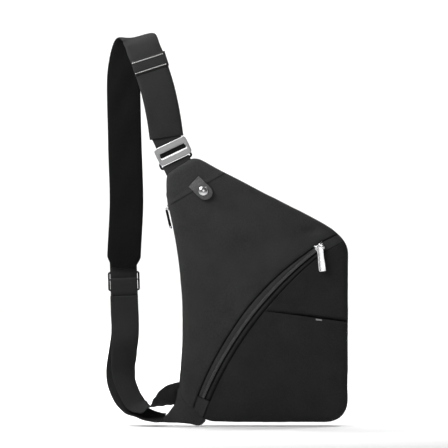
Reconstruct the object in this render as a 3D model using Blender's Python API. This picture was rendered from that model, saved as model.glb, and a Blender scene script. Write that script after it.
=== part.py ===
# Slim sling bag: flat pocketed body, side and front zips, snap tab,
# hook buckle and ring at the tip, shoulder strap with adjustable webbing.
# Sizes are in millimetres; every coordinate is shifted so that the point
# where the strap hangs is the origin, and scaled to metres.
import bpy
import bmesh
import math
from mathutils import Vector, Matrix

for old in list(bpy.data.objects):
    bpy.data.objects.remove(old, do_unlink=True)

MM = 0.001
GAP = 0.3                       # clearance between pieces that touch
HANG = Vector((-155.2, 14.0, 495.7))   # underside of the strap crest

# layers of the body, front (low Y) to back
Y_BACK = 12.0
Y_BACK_IN = 10.8
Y_FOAM = (8.0, 10.5)
Y_DIVIDER = (1.0, 1.8)
Y_LOWER = (-5.0, -4.2)
Y_FRONT = (-11.0, -9.9)

# body outline
EDGE_R = 628.0                  # radius of the hollow left edge
EDGE_C = (-724.2, 128.1)
ZIP_C = (365.0, -150.3)         # centre of the curved front zip
ZIP_R = 472.5
ZIP_TOP = math.radians(126.4)   # slider end
ZIP_END = math.radians(157.1)   # far end
BAND = 9.5                      # half width of the zip band
TIP_TILT = math.radians(25.4)   # lean of the buckle and ring
STRAP_W = 44.0
STRAP_T = 4.0
WEB_W = 38.0
WEB_T = 1.4

FINISH = {
    "fabric": (0.030, 0.031, 0.033, 0.0, 0.85),
    "lining": (0.045, 0.046, 0.050, 0.0, 0.80),
    "foam": (0.10, 0.10, 0.10, 0.0, 0.90),
    "webbing": (0.022, 0.022, 0.024, 0.0, 0.75),
    "nylon_coil": (0.015, 0.015, 0.016, 0.0, 0.45),
    "leather": (0.11, 0.11, 0.115, 0.0, 0.60),
    "nickel": (0.66, 0.66, 0.67, 1.0, 0.25),
    "gunmetal": (0.36, 0.36, 0.37, 1.0, 0.35),
    "black_steel": (0.02, 0.02, 0.02, 0.8, 0.40),
    "black_rubber": (0.018, 0.018, 0.018, 0.0, 0.60),
    "thread": (0.80, 0.80, 0.80, 0.0, 0.80),
}


def material(name, slot):
    r, g, b, metal, rough = FINISH[slot]
    mat = bpy.data.materials.new(slot + "_" + name)
    mat.use_nodes = True
    shader = mat.node_tree.nodes["Principled BSDF"]
    shader.inputs["Base Color"].default_value = (r, g, b, 1.0)
    shader.inputs["Metallic"].default_value = metal
    shader.inputs["Roughness"].default_value = rough
    return mat


def add(name, bm, slot, pivot=None, smooth=False):
    """Turn a bmesh in body millimetres into a named object in metres."""
    bmesh.ops.recalc_face_normals(bm, faces=bm.faces)
    base = Vector(pivot) if pivot else HANG
    for vert in bm.verts:
        vert.co = (vert.co - base) * MM
    mesh = bpy.data.meshes.new(name)
    bm.to_mesh(mesh)
    bm.free()
    obj = bpy.data.objects.new(name, mesh)
    bpy.context.scene.collection.objects.link(obj)
    obj.location = (base - HANG) * MM
    mesh.materials.append(material(name, slot))
    if smooth:
        for poly in mesh.polygons:
            poly.use_smooth = True
    return obj


def prism(bm, points, y0, y1):
    """Closed prism: outline in X and Z, between two depths."""
    near = [bm.verts.new((x, y0, z)) for x, z in points]
    far = [bm.verts.new((x, y1, z)) for x, z in points]
    bm.faces.new(near)
    bm.faces.new(list(reversed(far)))
    count = len(points)
    for i in range(count):
        j = (i + 1) % count
        bm.faces.new((near[i], far[i], far[j], near[j]))


def panel(name, points, y0, y1, slot, pivot=None):
    bm = bmesh.new()
    prism(bm, points, y0, y1)
    return add(name, bm, slot, pivot)


def arc(centre, radius, start, end, steps):
    out = []
    for i in range(steps + 1):
        a = start + (end - start) * i / steps
        out.append((centre[0] + radius * math.cos(a), centre[1] + radius * math.sin(a)))
    return out


def edge_x(z):
    """X of the hollow left edge at height z."""
    return EDGE_C[0] + math.sqrt(EDGE_R ** 2 - (z - EDGE_C[1]) ** 2)


def outline(inset=0.0):
    """Body outline, anticlockwise from the bottom left, moved inward by inset."""
    pts = []
    pts += [(-72.0, 6.5), (-58.0, 2.2)]
    pts += [(-20.0, 1.6), (30.0, 1.6)]
    pts += arc((89.6, 28.6), 27.0, -math.pi / 2, 0.0, 7)
    pts += [(116.6, 90.0), (116.6, 150.0)]
    pts += arc((88.0, 219.5), 28.6, 0.0, math.radians(56.0), 7)
    pts += [(96.6, 250.2), (88.0, 255.8), (60.0, 270.9), (10.0, 296.0), (-40.0, 321.2)]
    pts += [(-70.0, 336.5), (-76.0, 338.8), (-83.0, 338.4)]
    pts += [(-116.6, 321.2), (-117.2, 300.0)]
    for i in range(11):
        z = 284.0 - 23.4 * i
        pts.append((edge_x(z), z))
    pts += [(-98.8, 31.0), (-84.4, 17.4)]
    if inset == 0.0:
        return pts
    out = []
    count = len(pts)
    for i in range(count):
        p, c, n = pts[i - 1], pts[i], pts[(i + 1) % count]
        d1 = Vector((c[0] - p[0], c[1] - p[1])).normalized()
        d2 = Vector((n[0] - c[0], n[1] - c[1])).normalized()
        normal = Vector((-(d1.y + d2.y), d1.x + d2.x)).normalized()
        cosine = max(0.5, normal.dot(Vector((-d1.y, d1.x))))
        out.append((c[0] + normal.x * inset / cosine, c[1] + normal.y * inset / cosine))
    return out


def refine(points, step=3.0):
    out = []
    count = len(points)
    for i in range(count):
        a, b = points[i], points[(i + 1) % count]
        n = max(1, int(math.dist(a, b) / step))
        for k in range(n):
            t = k / n
            out.append((a[0] + (b[0] - a[0]) * t, a[1] + (b[1] - a[1]) * t))
    return out


def clip(points, inside):
    """Part of a closed outline where inside(x, z) is positive, cut straight."""
    out = []
    count = len(points)
    for i in range(count):
        a, b = points[i], points[(i + 1) % count]
        fa, fb = inside(*a), inside(*b)
        if fa >= 0:
            out.append(a)
        if (fa >= 0) != (fb >= 0):
            lo, hi = 0.0, 1.0
            for _ in range(40):
                mid = (lo + hi) / 2
                m = (a[0] + (b[0] - a[0]) * mid, a[1] + (b[1] - a[1]) * mid)
                if (inside(*m) >= 0) == (fa >= 0):
                    lo = mid
                else:
                    hi = mid
            out.append((a[0] + (b[0] - a[0]) * lo, a[1] + (b[1] - a[1]) * lo))
    return out


def circle_cut(points, radius, keep_outside):
    """Clip an outline by the zip circle and follow its arc between the cuts."""
    sign = 1.0 if keep_outside else -1.0

    def side(x, z):
        return sign * (math.dist((x, z), ZIP_C) - radius)

    pts = clip(points, side)
    on = [i for i, p in enumerate(pts) if abs(math.dist(p, ZIP_C) - radius) < 0.01]
    out = []
    count = len(pts)
    for i in range(count):
        out.append(pts[i])
        j = (i + 1) % count
        if i in on and j in on and math.dist(pts[i], pts[j]) > 20.0:
            a0 = math.atan2(pts[i][1] - ZIP_C[1], pts[i][0] - ZIP_C[0])
            a1 = math.atan2(pts[j][1] - ZIP_C[1], pts[j][0] - ZIP_C[0])
            out += arc(ZIP_C, radius, a0, a1, 24)[1:-1]
    return out


def sector(name, r0, r1, a0, a1, y0, y1, slot, steps=26):
    pts = arc(ZIP_C, r0, a0, a1, steps) + list(reversed(arc(ZIP_C, r1, a0, a1, steps)))
    return panel(name, pts, y0, y1, slot)


def smooth_path(frames, steps):
    """Catmull-Rom through (point, width direction) frames."""
    pts = [Vector(f[0]) for f in frames]
    wid = [Vector(f[1]).normalized() for f in frames]
    out = []
    last = len(pts) - 1
    for i in range(last):
        p0 = pts[i - 1] if i > 0 else pts[i] * 2 - pts[i + 1]
        p1, p2 = pts[i], pts[i + 1]
        p3 = pts[i + 2] if i + 2 <= last else pts[i + 1] * 2 - pts[i]
        for k in range(steps + (1 if i == last - 1 else 0)):
            t = k / steps
            c = 0.5 * (2 * p1 + (p2 - p0) * t + (2 * p0 - 5 * p1 + 4 * p2 - p3) * t * t
                       + (3 * p1 - p0 - 3 * p2 + p3) * t ** 3)
            s = t * t * (3 - 2 * t)
            out.append((c, wid[i].lerp(wid[i + 1], s).normalized()))
    return out


def strip(name, frames, width, thick, slot, steps=4, pivot=None, smooth_line=True):
    """Flat strap swept along a path, its width along the given directions."""
    path = smooth_path(frames, steps) if smooth_line else [
        (Vector(p), Vector(w).normalized()) for p, w in frames]
    bm = bmesh.new()
    rings = []
    count = len(path)
    for i in range(count):
        c, w = path[i]
        a = path[max(0, i - 1)][0]
        b = path[min(count - 1, i + 1)][0]
        t = (b - a).normalized()
        w = (w - t * w.dot(t)).normalized()
        n = t.cross(w)
        ring = []
        for su, sn in ((-1, -1), (1, -1), (1, 1), (-1, 1)):
            ring.append(bm.verts.new(c + w * (su * width / 2) + n * (sn * thick / 2)))
        rings.append(ring)
    for a, b in zip(rings, rings[1:]):
        for k in range(4):
            m = (k + 1) % 4
            bm.faces.new((a[k], a[m], b[m], b[k]))
    bm.faces.new(rings[0])
    bm.faces.new(list(reversed(rings[-1])))
    return add(name, bm, slot, pivot)


def rod(bm, a, b, radius, sides=12, cap=True):
    a, b = Vector(a), Vector(b)
    axis = (b - a).normalized()
    u = axis.orthogonal().normalized()
    v = axis.cross(u)
    ends = []
    for c in (a, b):
        ends.append([bm.verts.new(c + u * radius * math.cos(2 * math.pi * k / sides)
                                  + v * radius * math.sin(2 * math.pi * k / sides))
                     for k in range(sides)])
    for k in range(sides):
        m = (k + 1) % sides
        bm.faces.new((ends[0][k], ends[0][m], ends[1][m], ends[1][k]))
    bm.faces.new(list(reversed(ends[0])))
    bm.faces.new(ends[1])


def wire_ring(bm, corners, radius, sides=10, closed=True):
    """Closed wire through corner points, mitred at each of them."""
    pts = [Vector(p) for p in corners]
    count = len(pts)
    plane = (pts[1] - pts[0]).cross(pts[2] - pts[1]).normalized()
    rings = []
    for i in range(count):
        d1 = (pts[i] - pts[i - 1]).normalized()
        d2 = (pts[(i + 1) % count] - pts[i]).normalized()
        across = (d1 - d2)
        across = across.normalized() if across.length > 1e-6 else plane.cross(d1)
        half = max(0.4, math.sqrt(max(0.0, (1 + d1.dot(d2)) / 2)))
        ring = []
        for k in range(sides):
            a = 2 * math.pi * k / sides
            ring.append(bm.verts.new(pts[i] + across * radius / half * math.cos(a)
                                     + plane * radius * math.sin(a)))
        rings.append((ring, across))
    for i in range(count):
        ra, ca = rings[i]
        rb, cb = rings[(i + 1) % count]
        d = (pts[(i + 1) % count] - pts[i]).normalized()
        side_a = ca - d * ca.dot(d)
        side_b = cb - d * cb.dot(d)
        flip = side_a.dot(side_b) < 0
        for k in range(sides):
            m = (k + 1) % sides
            kb = (sides // 2 - k) % sides if flip else k
            mb = (sides // 2 - m) % sides if flip else m
            bm.faces.new((ra[k], ra[m], rb[mb], rb[kb]))


def disc(bm, centre, radius, y0, y1, sides=24, dome=0.0):
    cx, cz = centre
    prism_pts = [(cx + radius * math.cos(2 * math.pi * k / sides),
                  cz + radius * math.sin(2 * math.pi * k / sides)) for k in range(sides)]
    if dome == 0.0:
        prism(bm, prism_pts, y0, y1)
        return
    rows = []
    for r, y in ((1.0, y1), (1.0, y0), (0.86, y0 - dome * 0.5), (0.5, y0 - dome * 0.9)):
        rows.append([bm.verts.new((cx + (x - cx) * r, y, cz + (z - cz) * r))
                     for x, z in prism_pts])
    top = bm.verts.new((cx, y0 - dome, cz))
    for a, b in zip(rows, rows[1:]):
        for k in range(sides):
            m = (k + 1) % sides
            bm.faces.new((a[k], a[m], b[m], b[k]))
    for k in range(sides):
        bm.faces.new((rows[-1][k], rows[-1][(k + 1) % sides], top))
    bm.faces.new(list(reversed(rows[0])))


# ---------------------------------------------------------------- body ----
FULL = outline()
LINE_A, LINE_B = (-115.0, 280.0), (-40.6, 323.0)     # mouth of the snap pocket


def above_mouth(x, z):
    dx, dz = LINE_B[0] - LINE_A[0], LINE_B[1] - LINE_A[1]
    return (-(x - LINE_A[0]) * dz + (z - LINE_A[1]) * dx) / math.hypot(dx, dz)


def mouth_z(x):
    """Height of the slip pocket's mouth at x."""
    return 146.0 - 0.133 * x


panel("back_panel", FULL, Y_BACK_IN, Y_BACK, "fabric")
panel("back_foam", outline(5.0), Y_FOAM[0], Y_FOAM[1], "foam")
panel("divider_panel", outline(1.8), Y_DIVIDER[0], Y_DIVIDER[1], "lining")

# side wall: a ring between the front and back panels, with the zip's slot
bm = bmesh.new()
outer, inner = outline(), outline(1.2)
y0, y1 = Y_FRONT[1] + GAP, Y_BACK_IN - GAP
loops = []
for pts, y in ((outer, y0), (outer, y1), (inner, y1), (inner, y0)):
    loops.append([bm.verts.new((x, y, z)) for x, z in pts])
count = len(outer)
for a, b in zip(loops, loops[1:] + loops[:1]):
    for i in range(count):
        j = (i + 1) % count
        bm.faces.new((a[i], a[j], b[j], b[i]))
gusset = add("gusset", bm, "fabric")
SLOT_Z = (66.0, 296.0)
SLOT_Y = (2.2, 9.8)
slot_pts = [(-150.0, SLOT_Z[0]), (-70.0, SLOT_Z[0]), (-70.0, SLOT_Z[1]), (-150.0, SLOT_Z[1])]
cutter = panel("side_slot_cutter", slot_pts, SLOT_Y[0], SLOT_Y[1], "fabric")
cutter.hide_render = True
cutter.display_type = "WIRE"
cut = gusset.modifiers.new("side_slot", "BOOLEAN")
cut.operation = "DIFFERENCE"
cut.solver = "EXACT"
cut.object = cutter

front = clip(refine(FULL), lambda x, z: -above_mouth(x, z) - GAP / 2)
panel("front_panel", circle_cut(front, ZIP_R + BAND + GAP, True),
      Y_FRONT[0], Y_FRONT[1], "fabric")
yoke = clip(refine(FULL), lambda x, z: above_mouth(x, z) - GAP / 2)
panel("tip_yoke", yoke, Y_FRONT[0], Y_FRONT[1], "fabric")
lower = circle_cut(refine(outline(1.8)), ZIP_R - BAND - GAP, False)
panel("lower_front_panel", lower, Y_LOWER[0], Y_LOWER[1], "fabric")
slip = clip(refine(FULL), lambda x, z: mouth_z(x) - z)
panel("slip_pocket_panel", circle_cut(slip, ZIP_R - BAND - GAP, False),
      Y_FRONT[0], Y_FRONT[1], "fabric")
TAG = (79.0, 134.8)
panel("pocket_tag", [(TAG[0] - 4, TAG[1] - 2.4), (TAG[0] + 4, TAG[1] - 3.4),
                     (TAG[0] + 4, TAG[1] - 0.4), (TAG[0] - 4, TAG[1] + 0.6)],
      Y_FRONT[0] - 0.9, Y_FRONT[0] - GAP, "leather")

# ----------------------------------------------------------- front zip ----
A_TOP, A_END = math.radians(126.7), math.radians(157.2)
sector("front_zip_tape_outer", ZIP_R + 1.9, ZIP_R + BAND, A_TOP, A_END, -10.9, -10.2, "fabric")
sector("front_zip_tape_inner", ZIP_R - BAND, ZIP_R - 1.9, A_TOP, A_END, -10.9, -10.2, "fabric")
sector("front_zip_coil_outer", ZIP_R + 0.15, ZIP_R + 1.6, A_TOP, A_END, -11.6, -10.2,
       "nylon_coil")
sector("front_zip_coil_inner", ZIP_R - 1.6, ZIP_R - 0.15, A_TOP, A_END, -11.6, -10.2,
       "nylon_coil")


def band_end(name, a0, a1, keep):
    pts = refine(arc(ZIP_C, ZIP_R - BAND, a0, a1, 8)
                 + list(reversed(arc(ZIP_C, ZIP_R + BAND, a0, a1, 8))), 4.0)
    panel(name, clip(pts, keep), Y_FRONT[0], Y_FRONT[1], "fabric")


SLANT = Vector((-85.7, 0.0, -169.0)).normalized()
band_end("front_zip_garage_end", math.radians(157.3), math.radians(160.9),
         lambda x, z: z - 2.0 if x > -70 else z - 5.0 + (x + 70) * 1.15)


def in_top(x, z):
    """Distance inside the rounded shoulder of the body."""
    if x > 88.0 and z > 219.5:
        return 28.6 - math.dist((x, z), (88.0, 219.5))
    return 116.6 - x


band_end("front_zip_garage_top", math.radians(121.0), math.radians(126.6), in_top)


def zip_frame(angle):
    out = Vector((math.cos(angle), 0.0, math.sin(angle)))
    along = Vector((math.sin(angle), 0.0, -math.cos(angle)))
    mid = Vector((ZIP_C[0], 0.0, ZIP_C[1])) + out * ZIP_R
    return mid, along, out


def block(bm, mid, along, out, a, o, y):
    """Box given by ranges along the zip, across it and in depth."""
    corners = [[(mid + along * p + out * q) for p in a] for q in o]
    pts = [corners[0][0], corners[0][1], corners[1][1], corners[1][0]]
    prism(bm, [(p.x, p.z) for p in pts], y[0], y[1])


def extrude_profile(bm, profile, origin, along, depth_dir, side, half):
    """Prism of a profile in (along, depth), swept to both sides."""
    rows = []
    for s in (-half, half):
        rows.append([bm.verts.new(origin + along * p + depth_dir * q + side * s)
                     for p, q in profile])
    count = len(profile)
    bm.faces.new(rows[0])
    bm.faces.new(list(reversed(rows[1])))
    for i in range(count):
        j = (i + 1) % count
        bm.faces.new((rows[0][i], rows[1][i], rows[1][j], rows[0][j]))


DEPTH = Vector((0.0, 1.0, 0.0))
mid, along, out = zip_frame(ZIP_TOP + math.radians(0.65))
zip_pivot = (ZIP_C[0], -12.5, ZIP_C[1])
bm = bmesh.new()
# channel section over the coil, with a raised bridge for the pull
channel = [(-5.2, 1.3), (-5.2, 0.0), (5.2, 0.0), (5.2, 1.3), (4.2, 1.3), (4.2, 0.5),
           (-4.2, 0.5), (-4.2, 1.3)]
origin = mid + Vector((0.0, -12.5, 0.0))
extrude_profile(bm, channel, origin, out, DEPTH, along, 6.0)
slider = add("front_zip_slider", bm, "nickel", zip_pivot)

# the pull hangs from a pin held by the slider's two ears
PULL_DIR = Vector((0.11, 0.0, -0.994)).normalized()
PULL_AX = Vector((0.994, 0.0, 0.11)).normalized()
PIN = mid + Vector((0.0, -14.6, 0.0)) - PULL_DIR * 0.4
ears = bmesh.new()
for s in (-3.2, 3.2):
    extrude_profile(ears, [(-1.6, -1.2), (1.6, -1.2), (1.6, 2.4), (-1.6, 2.4)],
                    PIN + PULL_AX * s, PULL_DIR, DEPTH, PULL_AX, 0.6)
rod(ears, PIN - PULL_AX * 3.4, PIN + PULL_AX * 3.4, 0.7)
ear_obj = add("front_slider_ears_cutter", ears, "nickel", zip_pivot)
ear_obj.hide_render = True
ear_obj.display_type = "WIRE"
join = slider.modifiers.new("ears", "BOOLEAN")
join.operation = "UNION"
join.solver = "EXACT"
join.object = ear_obj


def pull_plate(name, pin, down, axis, normal, length, width, thick, slot, pivot, hole=1.15):
    """Flat pull: an eye round the pin, a narrow neck and a wider grip."""
    bm = bmesh.new()
    ring_o, ring_i = [], []
    for k in range(12):
        a = 2 * math.pi * k / 12
        ring_o.append(pin + down * 2.1 * math.cos(a) + normal * 2.1 * math.sin(a))
        ring_i.append(pin + down * hole * math.cos(a) + normal * hole * math.sin(a))
    rows = []
    for pts in (ring_o, ring_i):
        for s in (-1.9, 1.9):
            rows.append([bm.verts.new(p + axis * s) for p in pts])
    oa, ob, ia, ib = rows
    for k in range(12):
        m = (k + 1) % 12
        bm.faces.new((oa[k], oa[m], ob[m], ob[k]))
        bm.faces.new((ia[k], ib[k], ib[m], ia[m]))
        bm.faces.new((oa[k], ia[k], ia[m], oa[m]))
        bm.faces.new((ob[k], ob[m], ib[m], ib[k]))
    obj = add(name, bm, slot, pivot)
    grip = bmesh.new()
    stations = ((1.6, 1.9), (4.0, 1.9), (5.5, width / 2), (length * 0.45, width * 0.40),
                (length - 3.0, width / 2), (length, width * 0.36))
    left = [pin + down * d + axis * w for d, w in stations]
    right = [pin + down * d - axis * w for d, w in reversed(stations)]
    near = [grip.verts.new(p - normal * thick / 2) for p in left + right]
    far = [grip.verts.new(p + normal * thick / 2) for p in left + right]
    grip.faces.new(near)
    grip.faces.new(list(reversed(far)))
    for i in range(len(near)):
        j = (i + 1) % len(near)
        grip.faces.new((near[i], far[i], far[j], near[j]))
    g = add(name + "_grip_cutter", grip, slot, pivot)
    g.hide_render = True
    g.display_type = "WIRE"
    mod = obj.modifiers.new("grip", "BOOLEAN")
    mod.operation = "UNION"
    mod.solver = "EXACT"
    mod.object = g
    return obj


pull_plate("front_zip_pull", PIN, PULL_DIR, PULL_AX, DEPTH, 30.4, 10.4, 1.6, "nickel", PIN)

# ------------------------------------------------------------ side zip ----


def side_strip(name, y0, y1, inset, thick, z0, z1, slot):
    pts = []
    steps = 18
    for i in range(steps + 1):
        z = z0 + (z1 - z0) * i / steps
        pts.append((edge_x(min(z, 284.0)) if z > 284 else edge_x(z), z))
    shifted = [(x + inset, z) for x, z in pts]
    deeper = [(x + inset + thick, z) for x, z in pts]
    panel(name, shifted + list(reversed(deeper)), y0, y1, slot)


side_strip("side_zip_tape_front", 2.5, 5.0, 0.2, 0.8, 66.4, 290.0, "fabric")
side_strip("side_zip_tape_back", 7.0, 9.5, 0.2, 0.8, 66.4, 290.0, "fabric")
side_strip("side_zip_coil_front", 5.2, 5.9, -0.3, 1.3, 66.4, 290.0, "nylon_coil")
side_strip("side_zip_coil_back", 6.1, 6.8, -0.3, 1.3, 66.4, 290.0, "nylon_coil")

SIDE_Y = 6.0
SIDE_Z = 279.0
side_angle = math.asin((SIDE_Z - EDGE_C[1]) / EDGE_R)
s_out = Vector((-math.cos(side_angle), 0.0, -math.sin(side_angle)))   # away from the bag
s_up = Vector((-math.sin(side_angle), 0.0, math.cos(side_angle)))
s_mid = Vector((EDGE_C[0], 0.0, EDGE_C[1])) - s_out * EDGE_R + Vector((0.0, SIDE_Y, 0.0))
side_pivot = (EDGE_C[0], SIDE_Y, EDGE_C[1])
bm = bmesh.new()
extrude_profile(bm, [(-2.9, 0.4), (2.9, 0.4), (2.9, 1.3), (-2.9, 1.3)],
                s_mid + s_out * 0.5, DEPTH, s_out, s_up, 4.5)
s_slider = add("side_zip_slider", bm, "nickel", side_pivot)
S_PIN = s_mid + s_out * 3.6 - s_up * 0.5
bm = bmesh.new()
for s in (-2.6, 2.6):
    extrude_profile(bm, [(-1.2, -1.8), (1.2, -1.8), (1.2, 0.9), (-1.2, 0.9)],
                    S_PIN + DEPTH * s, s_up, s_out, DEPTH, 0.5)
rod(bm, S_PIN - DEPTH * 2.8, S_PIN + DEPTH * 2.8, 0.55)
s_ears = add("side_slider_ears_cutter", bm, "nickel", side_pivot)
s_ears.hide_render = True
s_ears.display_type = "WIRE"
mod = s_slider.modifiers.new("ears", "BOOLEAN")
mod.operation = "UNION"
mod.solver = "EXACT"
mod.object = s_ears

bm = bmesh.new()
S_DOWN = Vector((0.225, 0.0, -0.974)).normalized()    # the pull lies in along the edge
S_OUT = Vector((-0.974, 0.0, -0.225)).normalized()
rows = []
for rad in (1.45, 0.8):
    for s in (-1.6, 1.6):
        rows.append([bm.verts.new(S_PIN + DEPTH * s + S_DOWN * rad * math.cos(2 * math.pi * k / 12)
                                  + S_OUT * rad * math.sin(2 * math.pi * k / 12))
                     for k in range(12)])
oa, ob, ia, ib = rows
for k in range(12):
    m = (k + 1) % 12
    bm.faces.new((oa[k], oa[m], ob[m], ob[k]))
    bm.faces.new((ia[k], ib[k], ib[m], ia[m]))
    bm.faces.new((oa[k], ia[k], ia[m], oa[m]))
    bm.faces.new((ob[k], ob[m], ib[m], ib[k]))
add("side_pull_eye", bm, "nickel", S_PIN)
bm = bmesh.new()
rod(bm, S_PIN + S_DOWN * 1.8, S_PIN + S_DOWN * 24.4, 1.6, 10)
add("side_zip_pull", bm, "black_rubber", S_PIN, True)
bm = bmesh.new()
rod(bm, S_PIN + S_DOWN * 24.7, S_PIN + S_DOWN * 27.5, 1.9, 12)
add("side_pull_tip", bm, "nickel", S_PIN, True)

# ------------------------------------------------------------ snap tab ----
ROOT = Vector((-82.3, -11.9, 311.9))
T_AX = Vector((0.694, 0.0, 0.72)).normalized()
T_DIR = Vector((0.72, 0.0, -0.694)).normalized()
SNAP = ROOT + T_DIR * 17.6
TAB_W = 19.0
TAB_L = 30.4
bm = bmesh.new()
stations = []
for i in range(6):
    stations.append((i * 4.1, TAB_W / 2))
for i in range(1, 8):
    a = math.pi / 2 * i / 8
    stations.append((20.6 + (TAB_L - 20.6) * math.sin(a), TAB_W / 2 * math.cos(a)))
rings = []
for d, w in stations:
    t = min(1.0, d / 12.0)
    lift = -1.5 * t * t * (3 - 2 * t)
    c = ROOT + T_DIR * d + Vector((0.0, lift, 0.0))
    rings.append([bm.verts.new(c - T_AX * w + DEPTH * 0.55), bm.verts.new(c + T_AX * w + DEPTH * 0.55),
                  bm.verts.new(c + T_AX * w - DEPTH * 0.55), bm.verts.new(c - T_AX * w - DEPTH * 0.55)])
tip = ROOT + T_DIR * TAB_L + Vector((0.0, -1.5, 0.0))
t_in, t_out = bm.verts.new(tip + DEPTH * 0.55), bm.verts.new(tip - DEPTH * 0.55)
for a, b in zip(rings, rings[1:]):
    for k in range(4):
        m = (k + 1) % 4
        bm.faces.new((a[k], a[m], b[m], b[k]))
bm.faces.new(rings[0])
z = rings[-1]
bm.faces.new((z[0], z[1], t_in))
bm.faces.new((z[2], z[3], t_out))
bm.faces.new((z[1], z[2], t_out, t_in))
bm.faces.new((z[3], z[0], t_in, t_out))
add("snap_tab", bm, "leather", ROOT)
bm = bmesh.new()
disc(bm, (SNAP.x, SNAP.z), 6.0, -14.9, -14.25, 24, 1.2)
add("snap_cap", bm, "nickel", ROOT, True)
bm = bmesh.new()
ring_pts = []
for rad, y in ((5.2, -12.55), (5.2, -11.95), (2.5, -11.95), (2.5, -12.55)):
    ring_pts.append([bm.verts.new((SNAP.x + rad * math.cos(2 * math.pi * k / 20), y,
                                   SNAP.z + rad * math.sin(2 * math.pi * k / 20)))
                     for k in range(20)])
for a, b in zip(ring_pts, ring_pts[1:] + ring_pts[:1]):
    for k in range(20):
        m = (k + 1) % 20
        bm.faces.new((a[k], a[m], b[m], b[k]))
add("snap_socket", bm, "nickel", ROOT, True)
bm = bmesh.new()
rows = []
for rad, y in ((5.2, -11.3), (5.2, -11.6), (1.9, -11.65), (1.9, -12.3)):
    rows.append([bm.verts.new((SNAP.x + rad * math.cos(2 * math.pi * k / 20), y,
                               SNAP.z + rad * math.sin(2 * math.pi * k / 20)))
                 for k in range(20)])
for a, b in zip(rows, rows[1:]):
    for k in range(20):
        m = (k + 1) % 20
        bm.faces.new((a[k], a[m], b[m], b[k]))
bm.faces.new(list(reversed(rows[0])))
bm.faces.new(rows[-1])
add("snap_stud", bm, "nickel", None, True)

# --------------------------------------------------- buckle, ring, tip ----
C = Vector((-109.1, 0.0, 351.1))
U = Vector((math.cos(TIP_TILT), 0.0, math.sin(TIP_TILT)))
V = Vector((-math.sin(TIP_TILT), 0.0, math.cos(TIP_TILT)))


def at(u, v, y):
    return C + U * u + V * v + Vector((0.0, y, 0.0))


BAR_Y = 1.0
HOOK_PIVOT = at(0.0, 0.0, BAR_Y)
bm = bmesh.new()
extrude_profile(bm, [(12.0, -5.0), (12.0, -3.0), (-12.0, -3.0), (-12.0, -5.0)], C, V, DEPTH, U, 22.5)
buckle = add("hook_buckle", bm, "gunmetal", HOOK_PIVOT)


def helper(name, bm, target, op, pivot):
    obj = add(name, bm, "gunmetal", pivot)
    obj.hide_render = True
    obj.display_type = "WIRE"
    mod = target.modifiers.new(name, "BOOLEAN")
    mod.operation = op
    mod.solver = "EXACT"
    mod.object = obj


bm = bmesh.new()
extrude_profile(bm, [(3.2, -8.0), (3.2, 0.0), (-4.0, 0.0), (-4.0, -8.0)], C, V, DEPTH, U, 18.5)
helper("buckle_slot_cutter", bm, buckle, "DIFFERENCE", HOOK_PIVOT)
bm = bmesh.new()
for s in (-21.4, 21.4):
    extrude_profile(bm, [(2.6, -3.6), (2.6, 2.9), (-2.6, 2.9), (-2.6, -3.6)],
                    at(s, 0.0, 0.0), V, DEPTH, U, 0.9)
rod(bm, at(-21.6, 0, BAR_Y), at(21.6, 0, BAR_Y), 1.2)
helper("buckle_bar_cutter", bm, buckle, "UNION", HOOK_PIVOT)
bm = bmesh.new()
hook = [(-10.3, -4.0), (-10.3, 3.1), (-5.8, 3.1), (-5.8, 4.3), (-11.3, 4.3), (-11.3, -4.0)]
extrude_profile(bm, hook, at(0, 0, 0), V, DEPTH, U, 9.0)
helper("buckle_hook_cutter", bm, buckle, "UNION", HOOK_PIVOT)

RING_R = 1.3
LOOP_V, LOOP_U = -15.6, -2.1    # lower wire of the ring, middle of its loop
RING_PIVOT = at(LOOP_U, LOOP_V, 0.2)
bm = bmesh.new()
wire_ring(bm, [at(-22.9, LOOP_V, 0.2), at(19.4, LOOP_V, 0.2), at(19.4, -8.0, 0.2),
               at(-22.9, -8.0, 0.2)], RING_R)
add("tip_ring", bm, "black_steel", RING_PIVOT, True)


def hairpin(v_bar, y_bar, radius, v_far, y_a, y_b, u, up):
    """Path of a strip folded round a bar, both plies running to v_far."""
    side = 1.0 if up else -1.0
    path = [(at(u, v_far, y_a), U), (at(u, v_bar + side * 2.5, y_bar - radius), U)]
    for k in range(7):
        a = math.pi * k / 6
        path.append((at(u, v_bar - side * radius * math.sin(a), y_bar - radius * math.cos(a)), U))
    path += [(at(u, v_bar + side * 2.5, y_bar + radius), U), (at(u, v_far, y_b), U)]
    return path


strip("strap_neck", hairpin(0.0, BAR_Y, 2.2, 13.2, -1.2, 2.2, 0.0, True), 36.0, 1.2,
      "webbing", smooth_line=False)
strip("tip_loop", hairpin(LOOP_V, 0.2, 2.3, -22.3, -2.1, 2.5, LOOP_U, False), 37.4, 1.2,
      "fabric", smooth_line=False)

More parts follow.
